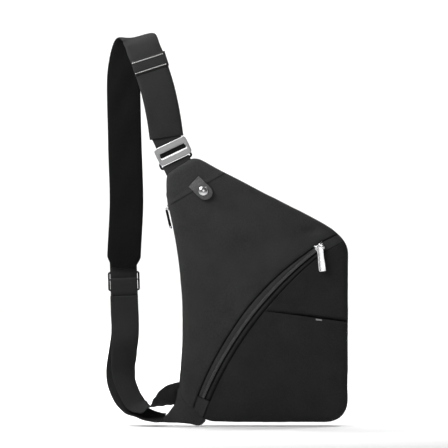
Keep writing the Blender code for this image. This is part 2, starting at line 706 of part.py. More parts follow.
# --------------------------------------------------------------- strap ----
REST = [
    ((-117.2, 0.5, 368.4), (0.981, 0.0, 0.193)),
    ((-121.4, -1.5, 397.4), (0.978, 0.0, 0.21)),
    ((-128.4, -2.5, 429.5), (0.965, 0.0, 0.262)),
    ((-138.7, -2.0, 462.4), (0.953, 0.0, 0.304)),
    ((-146.6, 0.0, 482.0), (0.93, 0.0, 0.367)),
    ((-150.4, 4.3, 492.8), (0.93, 0.12, 0.34)),
    ((-155.2, 14.0, 498.0), (0.945, 0.22, 0.24)),
    ((-161.5, 24.0, 493.2), (0.98, 0.17, 0.03)),
    ((-167.4, 29.8, 481.5), (0.994, 0.0, -0.08)),
    ((-172.0, 36.0, 462.0), (0.995, 0.0, -0.08)),
    ((-174.0, 41.0, 440.0), (1.0, 0.0, -0.03)),
    ((-173.6, 46.0, 400.0), (1.0, 0.0, 0.0)),
    ((-172.6, 47.0, 358.7), (1.0, 0.0, 0.0)),
    ((-170.4, 42.0, 288.0), (1.0, 0.0, 0.0)),
    ((-172.6, 32.0, 228.0), (1.0, 0.0, 0.0)),
    ((-174.0, 28.2, 206.0), (1.0, 0.0, 0.0)),
]
strip("shoulder_strap", REST, STRAP_W, STRAP_T, "webbing", 5)

# reinforcing band sewn across the strap, with its two rows of thread
BAND_MID = Vector((-138.6, -2.0, 464.0))
B_AX = Vector((0.953, 0.0, 0.304)).normalized()
B_UP = Vector((-0.337, 0.045, 0.94)).normalized()
B_UP = (B_UP - B_AX * B_UP.dot(B_AX)).normalized()
B_OUT = B_UP.cross(B_AX)
if B_OUT.y > 0:
    B_OUT = -B_OUT
bm = bmesh.new()
extrude_profile(bm, [(-10.0, 2.6), (10.0, 2.6), (10.0, 3.5), (-10.0, 3.5)],
                BAND_MID, B_UP, B_OUT, B_AX, STRAP_W / 2 + 0.4)
add("keeper_band", bm, "webbing")
for name, row in (("keeper_stitch_upper", 7.0), ("keeper_stitch_lower", -7.0)):
    bm = bmesh.new()
    extrude_profile(bm, [(-0.35, 3.8), (0.35, 3.8), (0.35, 4.2), (-0.35, 4.2)],
                    BAND_MID + B_UP * row, B_UP, B_OUT, B_AX, 22.0)
    add(name, bm, "thread")

# ------------------------------------------------- slider and webbing ----
X_TOP, X_LOW = -174.1, -171.3          # centre line of the straight run
Z_TOP, Z_LOW = 205.0, 120.0
RUN = Vector((X_LOW - X_TOP, 0.0, Z_LOW - Z_TOP)).normalized()
SIDE = Vector((-RUN.z, 0.0, RUN.x))
Y_RUN = 28.0                           # depth of the rear layer
BAR_Z = 184.8


def on_run(z, y):
    t = (z - Z_TOP) / (Z_LOW - Z_TOP)
    return Vector((X_TOP + (X_LOW - X_TOP) * t, y, z))


mid_bar = on_run(BAR_Z, Y_RUN - 3.6)
S_W = 19.4
bm = bmesh.new()
top = on_run(BAR_Z + 9.4, Y_RUN + 2.2)
low = on_run(BAR_Z - 13.6, Y_RUN + 2.2)
wire_ring(bm, [low - SIDE * S_W, low + SIDE * S_W, top + SIDE * S_W, top - SIDE * S_W], 0.95, 8)
frame_obj = add("strap_slider", bm, "black_steel", mid_bar)
bm = bmesh.new()
for s in (-S_W, S_W):
    base = on_run(BAR_Z, 0.0)
    extrude_profile(bm, [(-0.9, Y_RUN - 4.4), (0.9, Y_RUN - 4.4), (0.9, Y_RUN + 2.2),
                         (-0.9, Y_RUN + 2.2)], base + SIDE * s, RUN, DEPTH, SIDE, 0.75)
rod(bm, mid_bar - SIDE * (S_W + 0.5), mid_bar + SIDE * (S_W + 0.5), 0.9, 10)
helper("slider_bar_cutter", bm, frame_obj, "UNION", mid_bar)

# rear ply, fold round the bar, front ply with the sewn end
LOOP_IN = 1.25 + 0.6
path = [(on_run(BAR_Z - 22.0, Y_RUN - 3.6 + LOOP_IN), SIDE)]
for k in range(7):
    a = math.pi * k / 6
    c = on_run(BAR_Z + LOOP_IN * math.sin(a), Y_RUN - 3.6 + LOOP_IN * math.cos(a))
    path.append((c, SIDE))
path.append((on_run(BAR_Z - 22.0, Y_RUN - 3.6 - LOOP_IN), SIDE))
strip("webbing_loop_end", path, 35.0, 1.1, "webbing", smooth_line=False, pivot=mid_bar)

Y_LAYER = 20.2
front_run = [
    (on_run(164.0, Y_LAYER), SIDE),
    (on_run(140.0, Y_LAYER), SIDE),
    (on_run(121.0, Y_LAYER - 0.4), SIDE),
    ((-172.4, 18.0, 92.0), (0.90, 0.42, 0.08)),
    ((-173.5, 15.5, 69.5), (0.80, 0.57, 0.17)),
    ((-170.7, 12.5, 50.9), (0.75, 0.66, 0.02)),
    ((-159.7, 9.0, 27.7), (0.576, 0.736, 0.356)),
    ((-147.5, 6.5, 20.0), (0.41, 0.85, 0.32)),
    ((-135.9, 5.0, 21.2), (0.0, 0.99, -0.13)),
    ((-127.5, 4.0, 26.6), (0.02, 0.87, -0.49)),
    ((-118.5, 3.0, 32.4), (-0.08, 0.68, -0.73)),
    ((-109.4, 2.0, 36.2), (-0.16, 0.57, -0.80)),
]
strip("webbing_front_layer", front_run, WEB_W - 2.0, 1.3, "webbing", 4)
rear_run = [
    (on_run(203.4, Y_RUN), SIDE),
    (on_run(160.0, Y_RUN), SIDE),
    (on_run(122.0, Y_RUN), SIDE),
    ((-175.5, 26.5, 92.0), (0.97, 0.24, 0.03)),
    ((-179.2, 23.5, 70.0), (0.93, 0.35, 0.08)),
    ((-178.6, 19.5, 51.5), (0.88, 0.44, 0.12)),
    ((-171.0, 14.0, 33.5), (0.76, 0.50, 0.40)),
    ((-162.0, 10.0, 22.3), (0.54, 0.65, 0.52)),
    ((-147.5, 6.0, 12.6), (0.24, 0.89, 0.36)),
    ((-131.6, 3.4, 7.6), (0.26, 0.92, 0.28)),
]
strip("webbing_rear_layer", rear_run, WEB_W - 2.0, 1.3, "webbing", 4)

# corner tab: fabric wing folded round the end of the webbing
wing = [(-100.9, 47.0), (-102.6, 33.0), (-107.2, 23.8), (-111.3, 18.2), (-115.3, 12.6),
        (-121.7, 6.9), (-126.6, 3.2), (-125.0, 1.3), (-115.3, 0.6), (-102.4, 0.6),
        (-86.3, -0.8), (-78.2, -2.8), (-73.0, -2.5), (-71.8, 5.6), (-84.9, 16.5), (-99.6, 30.2)]
panel("corner_tab", wing, -3.0, 5.0, "fabric")
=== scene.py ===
import math
import bpy
import bmesh
import numpy as np
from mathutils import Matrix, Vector, noise
from mathutils.geometry import delaunay_2d_cdt


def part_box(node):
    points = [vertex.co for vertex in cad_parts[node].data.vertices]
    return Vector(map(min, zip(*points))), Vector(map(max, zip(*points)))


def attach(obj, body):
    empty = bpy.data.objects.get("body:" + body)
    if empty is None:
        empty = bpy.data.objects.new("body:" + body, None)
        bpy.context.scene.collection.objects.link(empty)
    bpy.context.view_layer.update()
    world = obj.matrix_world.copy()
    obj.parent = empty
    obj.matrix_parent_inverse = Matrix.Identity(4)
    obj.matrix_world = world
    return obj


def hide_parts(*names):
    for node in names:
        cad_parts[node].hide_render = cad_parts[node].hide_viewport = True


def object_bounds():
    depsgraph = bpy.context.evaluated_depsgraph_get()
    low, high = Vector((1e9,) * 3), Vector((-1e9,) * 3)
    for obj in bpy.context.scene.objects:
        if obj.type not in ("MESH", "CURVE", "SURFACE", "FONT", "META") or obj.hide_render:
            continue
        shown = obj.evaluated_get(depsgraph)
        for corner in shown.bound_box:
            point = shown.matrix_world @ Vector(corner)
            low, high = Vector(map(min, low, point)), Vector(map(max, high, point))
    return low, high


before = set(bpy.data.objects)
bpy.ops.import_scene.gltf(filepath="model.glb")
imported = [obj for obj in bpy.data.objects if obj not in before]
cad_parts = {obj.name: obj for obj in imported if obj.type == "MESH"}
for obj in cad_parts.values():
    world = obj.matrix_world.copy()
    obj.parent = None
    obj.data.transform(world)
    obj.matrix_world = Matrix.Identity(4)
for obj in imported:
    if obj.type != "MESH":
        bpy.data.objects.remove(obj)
CAD_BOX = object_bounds()
MM = 0.001
D = bpy.data
Y_AXIS = Vector((0.0, 1.0, 0.0))

# The body's own millimetres: x and z across the front, y in depth. The back
# panel's box fixes where that frame lies in the world.
BP_LO, BP_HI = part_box("back_panel")
ORG = Vector((BP_LO[0] / MM + 117.2, BP_HI[1] / MM - 12.0, BP_LO[2] / MM - 1.6))


def W(x, y, z):
    """World place of a point in the body's millimetres."""
    return Vector((x + ORG.x, y + ORG.y, z + ORG.z)) * MM


def Wv(v):
    """World place of a vector in the body's millimetres."""
    return W(*v)


# ------------------------------------------------------------ materials ----
def start(name):
    """New material, with its node tree and its two kinds of texture coordinates."""
    m = D.materials.new(name)
    m.use_nodes = True
    coords = m.node_tree.nodes.new("ShaderNodeTexCoord")
    return m, m.node_tree, coords.outputs["UV"], coords.outputs["Object"]


def calc(nt, op, *args):
    """Math node; each argument is a number or another node's output."""
    n = nt.nodes.new("ShaderNodeMath")
    n.operation = op
    for i, v in enumerate(args):
        if isinstance(v, (int, float)):
            n.inputs[i].default_value = v
        else:
            nt.links.new(v, n.inputs[i])
    return n.outputs[0]


def blend(nt, *parts):
    """Sum of (output, weight) pairs."""
    total = calc(nt, "MULTIPLY", *parts[0])
    for part in parts[1:]:
        total = calc(nt, "ADD", total, calc(nt, "MULTIPLY", *part))
    return total


def texture(nt, kind, vector, **values):
    """Texture or mapping node at a vector, with plain values on its sockets."""
    n = nt.nodes.new(kind)
    for socket, value in values.items():
        n.inputs[socket].default_value = value
    nt.links.new(vector, n.inputs["Vector"])
    return n


def cloud(nt, vector, scale, detail, roughness=0.5):
    """Soft random patches."""
    return texture(nt, "ShaderNodeTexNoise", vector, Scale=scale, Detail=detail,
                   Roughness=roughness).outputs["Fac"]


def ramp(nt, fac, stops, target):
    """Colour between two stops, linked to a shader socket."""
    r = nt.nodes.new("ShaderNodeValToRGB")
    for stop, (place, colour) in zip(r.color_ramp.elements, stops):
        stop.position = place
        stop.color = (*colour, 1.0)
    nt.links.new(fac, r.inputs["Fac"])
    nt.links.new(r.outputs["Color"], target)


def finish(m, tone, stops, height, bump, depth, values):
    """Colour by tone, bump by height, and plain values on the shader's own sockets."""
    nt = m.node_tree
    shader = nt.nodes["Principled BSDF"]
    ramp(nt, tone, stops, shader.inputs["Base Color"])
    bumps = nt.nodes.new("ShaderNodeBump")
    bumps.inputs["Strength"].default_value = bump
    bumps.inputs["Distance"].default_value = depth
    nt.links.new(height, bumps.inputs["Height"])
    nt.links.new(bumps.outputs["Normal"], shader.inputs["Normal"])
    for socket, value in values.items():
        if isinstance(value, (int, float)):
            shader.inputs[socket].default_value = value
        else:
            nt.links.new(value, shader.inputs[socket])
    return m


def fabric(name, dark, light, threads=900.0, ratio=1.0, bump=0.35, rough=0.86, sheen=0.03,
           twill=0.0, depth=0.0004, spec=0.12):
    """Woven cloth: threads over and under, fine fuzz, and soft uneven patches."""
    m, nt, uv, place = start(name)
    sep = nt.nodes.new("ShaderNodeSeparateXYZ")
    nt.links.new(uv, sep.inputs[0])
    warp = calc(nt, "MULTIPLY", sep.outputs[0], threads * math.pi)
    weft = calc(nt, "MULTIPLY", sep.outputs[1], threads * ratio * math.pi)
    if twill:
        warp = calc(nt, "ADD", warp, calc(nt, "MULTIPLY", weft, twill))
    over = calc(nt, "MULTIPLY", calc(nt, "SINE", warp), calc(nt, "SINE", weft))
    height = calc(nt, "MULTIPLY_ADD", over, 0.5, 0.5)
    fuzz = cloud(nt, place, 800.0, 3.0, 0.7)
    patch = cloud(nt, place, 26.0, 3.0, 0.55)
    return finish(m, blend(nt, (height, 0.42), (fuzz, 0.5), (patch, 0.30)),
                  [(0.22, dark), (0.88, light)],
                  calc(nt, "ADD", height, calc(nt, "MULTIPLY", fuzz, 0.7)), bump, depth,
                  {"Roughness": calc(nt, "MULTIPLY_ADD", patch, 0.12, rough - 0.06),
                   "Sheen Weight": sheen, "Sheen Roughness": 0.45, "Specular IOR Level": spec})


def ribbed(name, dark, light, ribs=420.0, bump=0.5, rough=0.78, sheen=0.02, spec=0.12):
    """Webbing: fine ribs across the strap with a faint lengthwise thread."""
    m, nt, uv, place = start(name)
    sep = nt.nodes.new("ShaderNodeSeparateXYZ")
    nt.links.new(uv, sep.inputs[0])
    rib = calc(nt, "SINE", calc(nt, "MULTIPLY", sep.outputs[1], ribs * 2 * math.pi))
    thread = calc(nt, "SINE", calc(nt, "MULTIPLY", sep.outputs[0], ribs * 1.6 * math.pi))
    height = blend(nt, (rib, 0.5), (calc(nt, "MULTIPLY", rib, thread), 0.35))
    height = calc(nt, "MULTIPLY_ADD", height, 0.5, 0.5)
    fuzz = cloud(nt, place, 900.0, 2.0)
    patch = cloud(nt, place, 22.0, 2.0)
    return finish(m, blend(nt, (height, 0.45), (fuzz, 0.30), (patch, 0.25)),
                  [(0.25, dark), (0.85, light)],
                  calc(nt, "ADD", height, calc(nt, "MULTIPLY", fuzz, 0.4)), bump, 0.0003,
                  {"Roughness": rough, "Sheen Weight": sheen, "Sheen Roughness": 0.4,
                   "Specular IOR Level": spec})


def metal(name, dark, light, rough, brush=1.0, bump=0.05):
    """Metal with a fine grain, packed closer along z where it is brushed."""
    m, nt, _, place = start(name)
    stretch = texture(nt, "ShaderNodeMapping", place, Scale=(1.0, 1.0, brush)).outputs["Vector"]
    grain = cloud(nt, stretch, 300.0, 3.0)
    return finish(m, blend(nt, (grain, 0.5), (cloud(nt, place, 60.0, 2.0), 0.5)),
                  [(0.3, dark), (0.7, light)], grain, bump, 0.0002,
                  {"Roughness": calc(nt, "MULTIPLY_ADD", grain, 0.14, rough - 0.05),
                   "Metallic": 1.0})


def grained(name, dark, light, rough=0.55, scale=420.0, bump=0.4, spec=0.4):
    """Pebbled surface: cells with grooves between them."""
    m, nt, _, place = start(name)
    cells = texture(nt, "ShaderNodeTexVoronoi", place, Scale=scale)
    cells.feature = "DISTANCE_TO_EDGE"
    pebble = calc(nt, "MINIMUM", calc(nt, "MULTIPLY", cells.outputs["Distance"], 3.0), 0.5)
    tone = calc(nt, "ADD", pebble, calc(nt, "MULTIPLY", cloud(nt, place, 120.0, 3.0), 0.5))
    return finish(m, tone, [(0.2, dark), (0.8, light)], tone, bump, 0.0003,
                  {"Roughness": rough, "Specular IOR Level": spec})


def grey(v):
    """Neutral grey with a trace of blue."""
    return (v, v, v * 1.01)


M_FAB = fabric("body_polyester", grey(0.010), grey(0.058), threads=1300.0, spec=0.05, sheen=0.0)
# Darker copy of the body polyester: painted shade for the lower front, the slip pocket and the
# inner binding, towards the lower right.
M_FAB_SHADED = fabric("polyester_painted_shade", grey(0.006), grey(0.037), threads=1300.0, spec=0.05,
                   sheen=0.0)
M_BACK = fabric("back_spacer_mesh", grey(0.012), grey(0.034), threads=420.0, bump=0.6,
                depth=0.0008, twill=0.5)
# Zip tape, darkened as painted shade: it shows mostly in the narrow gaps beside the zips.
M_TAPE_SHADED = fabric("zip_tape", grey(0.006), grey(0.018), threads=1100.0, twill=1.0, bump=0.5,
                spec=0.03, sheen=0.0)
M_STRAP = fabric("strap_cover", grey(0.010), grey(0.033), threads=1200.0, ratio=0.6, bump=0.4,
                 spec=0.06, sheen=0.0)
M_STRAP_IN = fabric("strap_inner", grey(0.003), grey(0.009), threads=1200.0, bump=0.3,
                    spec=0.03, sheen=0.0)
M_BAND = fabric("overlap_band", grey(0.009), grey(0.028), threads=800.0, bump=0.7)
M_LINING = fabric("lining_cloth", grey(0.02), grey(0.05), threads=1500.0)
M_WEB = ribbed("strap_webbing", grey(0.014), grey(0.036), ribs=760.0, bump=0.25, spec=0.05,
               sheen=0.0)
# Lighter copy of the strap webbing: painted light on the tip loop, which catches more of the lamps.
M_WEB_LIT = ribbed("tip_webbing_painted_light", grey(0.022), grey(0.052), ribs=760.0, bump=0.25, spec=0.05,
                sheen=0.0)
# Coil lighter than the tape: partly the coil's own grey, partly a painted highlight along the zip's
# ridge.
M_COIL_PAINTED_HIGHLIGHT = ribbed("zip_coil", grey(0.07), grey(0.15), ribs=10.0, rough=0.45, spec=0.4, bump=0.1)
M_THREAD = ribbed("white_thread", (0.62, 0.62, 0.60), (0.80, 0.80, 0.78), ribs=900.0)
M_DTHREAD = ribbed("dark_thread", grey(0.015), grey(0.04), ribs=900.0)
M_NICKEL = metal("bright_nickel", grey(0.80), grey(0.92), 0.22)
M_GUN = metal("satin_gunmetal", grey(0.46), grey(0.56), 0.34, brush=14.0, bump=0.12)
M_BLACKM = grained("black_enamel_wire", grey(0.006), grey(0.014), rough=0.5, scale=200.0,
                   bump=0.08, spec=0.02)
M_LEATHER = grained("tab_leather", grey(0.065), grey(0.110), rough=0.6, spec=0.2)
M_RUBBER = grained("black_cord", grey(0.006), grey(0.016), rough=0.7, scale=900.0, spec=0.02)
M_TAG = grained("tag_leather", grey(0.20), grey(0.32), rough=0.5)


# ------------------------------------------------------------- helpers ----
def skin(name, verts, faces, mat, body, uvs=None, replaces=()):
    """One smooth piece riding on a body, with its normals turned outwards."""
    me = D.meshes.new(name)
    me.from_pydata([tuple(v) for v in verts], [], faces)
    me.update()
    if uvs is not None:
        layer = me.uv_layers.new(name="UVMap")
        idx = np.zeros(len(me.loops), dtype=np.int32)
        me.loops.foreach_get("vertex_index", idx)
        layer.data.foreach_set("uv", np.asarray(uvs, dtype=np.float32)[idx].reshape(-1))
    me.materials.append(mat)
    me.polygons.foreach_set("use_smooth", [True] * len(me.polygons))
    bm = bmesh.new()
    bm.from_mesh(me)
    bmesh.ops.recalc_face_normals(bm, faces=bm.faces)
    bm.to_mesh(me)
    bm.free()
    ob = D.objects.new(name, me)
    bpy.context.scene.collection.objects.link(ob)
    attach(ob, body)
    if replaces:
        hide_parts(*replaces)
    return ob


def ring_faces(base, rows, sides, closed=False):
    """Quads between a stack of rings of vertices, with a cap on each end of an open stack."""
    faces = []
    for i in range(rows if closed else rows - 1):
        a, b = base + i * sides, base + (i + 1) % rows * sides
        for k in range(sides):
            m = (k + 1) % sides
            faces.append((a + k, a + m, b + m, b + k))
    if not closed:
        faces.append(tuple(base + k for k in reversed(range(sides))))
        faces.append(tuple(base + (rows - 1) * sides + k for k in range(sides)))
    return faces


def catmull(frames, steps):
    """Smooth curve through (point, width direction) frames."""
    pts = [Vector(f[0]) for f in frames]
    wid = [Vector(f[1]).normalized() for f in frames]
    out = []
    last = len(pts) - 1
    for i in range(last):
        p0 = pts[i - 1] if i > 0 else pts[i] * 2 - pts[i + 1]
        p1, p2 = pts[i], pts[i + 1]
        p3 = pts[i + 2] if i + 2 <= last else pts[i + 1] * 2 - pts[i]
        for k in range(steps + (1 if i == last - 1 else 0)):
            t = k / steps
            c = 0.5 * (2 * p1 + (p2 - p0) * t + (2 * p0 - 5 * p1 + 4 * p2 - p3) * t * t
                       + (3 * p1 - p0 - 3 * p2 + p3) * t ** 3)
            out.append((c, wid[i].lerp(wid[i + 1], smooth_step(t)).normalized()))
    return out


def smooth_step(t):
    """Eases from 0 to 1."""
    return t * t * (3 - 2 * t)


def section(width, thick, edge=0.5, crown=0.0, n=10):
    """Closed cross-section of a strap: (across, out) pairs with rounded edges."""
    top, bottom = [], []
    for i in range(n + 1):
        s = -1 + 2 * i / n
        u = s * (width / 2 - edge)
        top.append((u, thick / 2 + crown * (1 - s * s)))
        bottom.append((u, -thick / 2 - crown * 0.6 * (1 - s * s)))
    right = [(width / 2 - edge * 0.25, thick * 0.32), (width / 2, 0.0),
             (width / 2 - edge * 0.25, -thick * 0.32)]
    left = [(-u, h) for u, h in right]
    return top + right + bottom[::-1] + left[::-1]


def sweep(name, path, sect, mat, body, replaces=(), shape=None, lined=None):
    """Sweeps a section along (point, width direction) frames, with UVs in metres.

    shape bends the section on its way along; lined is a second material and the
    points of the section that carry it."""
    verts, uvs = [], []
    count, m = len(path), len(sect)
    length = 0.0
    for i, (c, w) in enumerate(path):
        t = (path[min(i + 1, count - 1)][0] - path[max(i - 1, 0)][0]).normalized()
        w = (w - t * w.dot(t)).normalized()
        n = w.cross(t)
        if i:
            length += (c - path[i - 1][0]).length
        for u, h in sect:
            if shape:
                u, h = shape(u, h, i / (count - 1), length)
            verts.append(Wv(c + w * u + n * h))
            uvs.append((u * MM, length * MM))
    ob = skin(name, verts, ring_faces(0, count, m), mat, body, uvs, replaces)
    if lined:
        ob.data.materials.append(lined[0])
        for poly in ob.data.polygons[:(count - 1) * m]:
            if poly.index % m in lined[1]:
                poly.material_index = 1
    return ob


def tube(name, pts, radius, mat, body, sides=8, closed=False, replaces=(), taper=None):
    """Round rod through points; taper scales its radius by the share of its run."""
    pts = [Vector(p) for p in pts]
    count = len(pts)
    verts, uvs = [], []
    run = 0.0
    for i, c in enumerate(pts):
        a = pts[i - 1] if (i > 0 or closed) else c
        b = pts[(i + 1) % count] if (i < count - 1 or closed) else c
        t = (b - a).normalized()
        u = t.cross(Y_AXIS)
        if u.length < 1e-3:
            u = t.cross(Vector((1, 0, 0)))
        u.normalize()
        v = t.cross(u)
        r = radius * (taper(i / max(1, count - 1)) if taper else 1.0)
        if i:
            run += (c - pts[i - 1]).length
        for k in range(sides):
            ang = 2 * math.pi * k / sides
            verts.append(Wv(c + u * r * math.cos(ang) + v * r * math.sin(ang)))
            uvs.append((radius * MM * ang, run * MM))
    return skin(name, verts, ring_faces(0, count, sides, closed), mat, body, uvs, replaces)


def turned(name, centre, profile, body, node, sides=40):
    """Nickel part turned about the y direction from (radius, y) pairs."""
    verts = []
    for r, y in profile:
        for k in range(sides):
            th = 2 * math.pi * k / sides
            verts.append(Wv(centre + Vector((r * math.cos(th), y, r * math.sin(th)))))
    skin(name, verts, ring_faces(0, len(profile), sides), M_NICKEL, body, None, (node,))


def plate(name, loop, place, profile, body, node):
    """Nickel plate: place(a, b, h) gives a point, profile lists its rings' (inset, height)."""
    a = np.array(loop)
    verts = [Wv(place(q[0], q[1], h)) for inset, h in profile for q in a - outward(a) * inset]
    skin(name, verts, ring_faces(0, len(profile), len(a)), M_NICKEL, body, None, (node,))


def seam(name, put, starts, length, fat, rise, dips, mat, body, node=(), tilt=0.0, grain=0.0):
    """Row of raised stitches: put(run, across, out) gives a point of the row."""
    verts, faces, uvs = [], [], []
    for first in starts:
        faces += ring_faces(len(verts), 5, 6)
        for i, (size, dip) in enumerate(zip((0.4, 0.9, 1.0, 0.9, 0.4), dips)):
            for k in range(6):
                th = math.pi * k / 3
                verts.append(Wv(put(first + length * i / 4,
                                    (i / 4 - 0.5) * tilt + math.cos(th) * fat * size,
                                    math.sin(th) * rise * size - dip)))
                uvs.append((first * MM, k * grain))
    skin(name, verts, faces, mat, body, uvs, node)


def coil(name, turns, path, wide, thick, node, lean=0.0):
    """Turns of a zip's coil, each a (middle, across, along, inwards) set of vectors."""
    verts, faces, uvs = [], [], []
    for mid, cross, along, deep in turns:
        faces += ring_faces(len(verts), len(path), 5)
        for a, h in path:
            c = mid + cross * a + deep * h + along * (a * lean)
            for k in range(5):
                th = 2 * math.pi * k / 5
                verts.append(Wv(c + along * (wide * math.cos(th)) + deep * (thick * math.sin(th))))
                uvs.append((k * 0.0003, a * MM))
    skin(name, verts, faces, M_COIL_PAINTED_HIGHLIGHT, "bag", uvs, (node,))


# ---------------------------------------------------------- body shapes ----
ZIP_C = (365.0, -150.3)         # centre of the front zip's arc
ZIP_R = 472.5
A_END, A_TOP = math.radians(157.2), math.radians(126.7)
# where the two folds beside the zip lie, across it, by degrees round the arc
FOLD_DEG = (120.0, 122.0, 123.6, 126.7, 129.0, 132.0, 134.0, 137.0, 141.5, 146.0, 150.0, 155.0,
            157.5, 160.0, 166.0)
FOLD_OUT = (-2.5, -1.2, 1.0, 5.4, 5.9, 7.5, 8.6, 9.6, 10.4, 9.7, 9.2, 8.4, 7.4, 6.2, 6.0)
FOLD_IN = (-14.0, -13.0, -12.0, -8.6, -8.8, -9.3, -9.7, -10.2, -10.4, -10.5, -10.6, -10.8,
           -10.8, -10.8, -10.8)
EDGE_R, EDGE_C = 628.0, (-724.2, 128.1)                 # arc of the slanted left edge
CORNER_R, CORNER_C = 28.6, (88.0, 219.5)                # upper right corner
LINE_A, LINE_B = (-115.0, 280.0), (-40.6, 323.0)        # mouth of the snap pocket
FRONT_Y, BACK_Y = -11.0, 12.0
SLIDER_AT = (80.3, 226.8)


def arc(centre, radius, start, end, steps):
    """Points along a circle between two angles."""
    return [(centre[0] + radius * math.cos(start + (end - start) * i / steps),
             centre[1] + radius * math.sin(start + (end - start) * i / steps))
            for i in range(steps + 1)]


def edge_x(z):
    """Where the slanted left edge lies at a height."""
    return EDGE_C[0] + math.sqrt(EDGE_R ** 2 - (z - EDGE_C[1]) ** 2)


def round_rect(u0, u1, v0, v1, r, steps):
    """Points round a rectangle with rounded corners, anticlockwise."""
    out = []
    for u, v, turn in ((u1 - r, v1 - r, 0), (u0 + r, v1 - r, 90), (u0 + r, v0 + r, 180),
                       (u1 - r, v0 + r, 270)):
        out += arc((u, v), r, math.radians(turn), math.radians(turn + 90), steps)
    return out


def outline():
    """Body outline, anticlockwise from the bottom left."""
    pts = [(-72.0, 6.5), (-58.0, 2.2), (-20.0, 1.6), (30.0, 1.6)]
    pts += arc((89.6, 28.6), 27.0, -math.pi / 2, 0.0, 12)
    pts += [(116.6, 90.0), (116.6, 150.0)]
    pts += arc(CORNER_C, CORNER_R, 0.0, math.radians(56.0), 12)
    pts += [(96.6, 250.2), (88.0, 255.8), (60.0, 270.9), (10.0, 296.0), (-40.0, 322.0),
            (-70.0, 338.6), (-76.0, 341.4), (-84.5, 341.6), (-116.6, 321.2), (-117.2, 300.0)]
    pts += [(edge_x(284.0 - 23.4 * i), 284.0 - 23.4 * i) for i in range(11)]
    pts += [(-98.8, 31.0), (-84.4, 17.4)]
    return pts


def refine(points, step, closed=True):
    """Cuts every side into even steps."""
    out = []
    last = len(points) if closed else len(points) - 1
    for i in range(last):
        a, b = points[i], points[(i + 1) % len(points)]
        n = max(1, int(round(math.dist(a, b) / step)))
        out += [(a[0] + (b[0] - a[0]) * k / n, a[1] + (b[1] - a[1]) * k / n) for k in range(n)]
    if not closed:
        out.append(points[-1])
    return out


def smooth_loop(points, times):
    """Rounds the corners of a closed, evenly spaced loop."""
    p = np.array(points)
    for _ in range(times):
        p = p * 0.5 + (np.roll(p, 1, 0) + np.roll(p, -1, 0)) * 0.25
    return p


EDGE_LOOP = smooth_loop(refine(outline(), 1.6), 6)


def outward(loop):
    """Unit vectors out of an anticlockwise loop, at each of its points."""
    t = np.roll(loop, -1, 0) - np.roll(loop, 1, 0)
    n = np.stack([t[:, 1], -t[:, 0]], 1)
    return n / (np.linalg.norm(n, axis=1)[:, None] + 1e-9)


def wavy(loop, amount=0.45):
    """Pushes a loop in and out a little, as cloth edges do."""
    w = np.array([noise.noise(Vector((p[0] * 0.028, p[1] * 0.028, 3.1)))
                  + 0.5 * noise.noise(Vector((p[0] * 0.09, p[1] * 0.09, 7.7))) for p in loop])
    return loop + outward(loop) * (w * amount)[:, None]


SHELL_LOOP = wavy(EDGE_LOOP)


def seg_dist(px, pz, poly, closed=True):
    """Distance of each point from a polyline."""
    a = np.asarray(poly, float)
    b = np.roll(a, -1, 0) if closed else a[1:]
    if not closed:
        a = a[:-1]
    best = np.full(len(px), 1e9)
    for (ax, az), (bx, bz) in zip(a, b):
        dx, dz = bx - ax, bz - az
        ll = dx * dx + dz * dz + 1e-12
        t = np.clip(((px - ax) * dx + (pz - az) * dz) / ll, 0, 1)
        d = (px - ax - t * dx) ** 2 + (pz - az - t * dz) ** 2
        np.minimum(best, d, out=best)
    return np.sqrt(best)


def inside(px, pz, poly):
    """Which of the points lie inside a closed loop."""
    a = np.asarray(poly, float)
    res = np.zeros(len(px), bool)
    for (ax, az), (bx, bz) in zip(a, np.roll(a, -1, 0)):
        if az == bz:
            continue
        hit = ((az > pz) != (bz > pz)) & (px < (bx - ax) * (pz - az) / (bz - az) + ax)
        res ^= hit
    return res


def clip_loop(loop, fn):
    """Part of a closed loop where fn(x, z) >= 0, cut along the line where fn is 0."""
    out = []
    count = len(loop)
    vals = [fn(*p) for p in loop]
    for i in range(count):
        a, b = loop[i], loop[(i + 1) % count]
        fa, fb = vals[i], vals[(i + 1) % count]
        if fa >= 0:
            out.append(tuple(a))
        if (fa >= 0) != (fb >= 0):
            lo, hi = 0.0, 1.0
            for _ in range(30):
                mid = (lo + hi) / 2
                if (fn(a[0] + (b[0] - a[0]) * mid, a[1] + (b[1] - a[1]) * mid) >= 0) == (fa >= 0):
                    lo = mid
                else:
                    hi = mid
            out.append((a[0] + (b[0] - a[0]) * lo, a[1] + (b[1] - a[1]) * lo))
    return out


def follow(loop, project, limit=4.0, step=1.8):
    """Fills the long gaps that a cut left with points that project() puts on the cut."""
    out = []
    count = len(loop)
    for i in range(count):
        a, b = loop[i], loop[(i + 1) % count]
        out.append(a)
        gap = math.dist(a, b)
        if gap > limit:
            n = int(gap / step)
            for k in range(1, n):
                t = k / n
                out.append(project(a[0] + (b[0] - a[0]) * t, a[1] + (b[1] - a[1]) * t))
    return out


def fold_radius(x, z, offsets, extra=0.0):
    """Radius of a fold beside the zip in the direction of (x, z)."""
    deg = np.degrees(np.arctan2(np.asarray(z, float) - ZIP_C[1], np.asarray(x, float) - ZIP_C[0]))
    return ZIP_R + np.interp(deg, FOLD_DEG, offsets) + extra


def across(x, z):
    """Distance from the centre of the zip's arc."""
    return np.hypot(np.asarray(x, float) - ZIP_C[0], np.asarray(z, float) - ZIP_C[1])


def on_fold(offsets, extra=0.0):
    """Function that moves a point onto a fold beside the zip."""
    def project(x, z):
        d = math.dist((x, z), ZIP_C)
        r = float(fold_radius(x, z, offsets, extra))
        return (ZIP_C[0] + (x - ZIP_C[0]) * r / d, ZIP_C[1] + (z - ZIP_C[1]) * r / d)
    return project


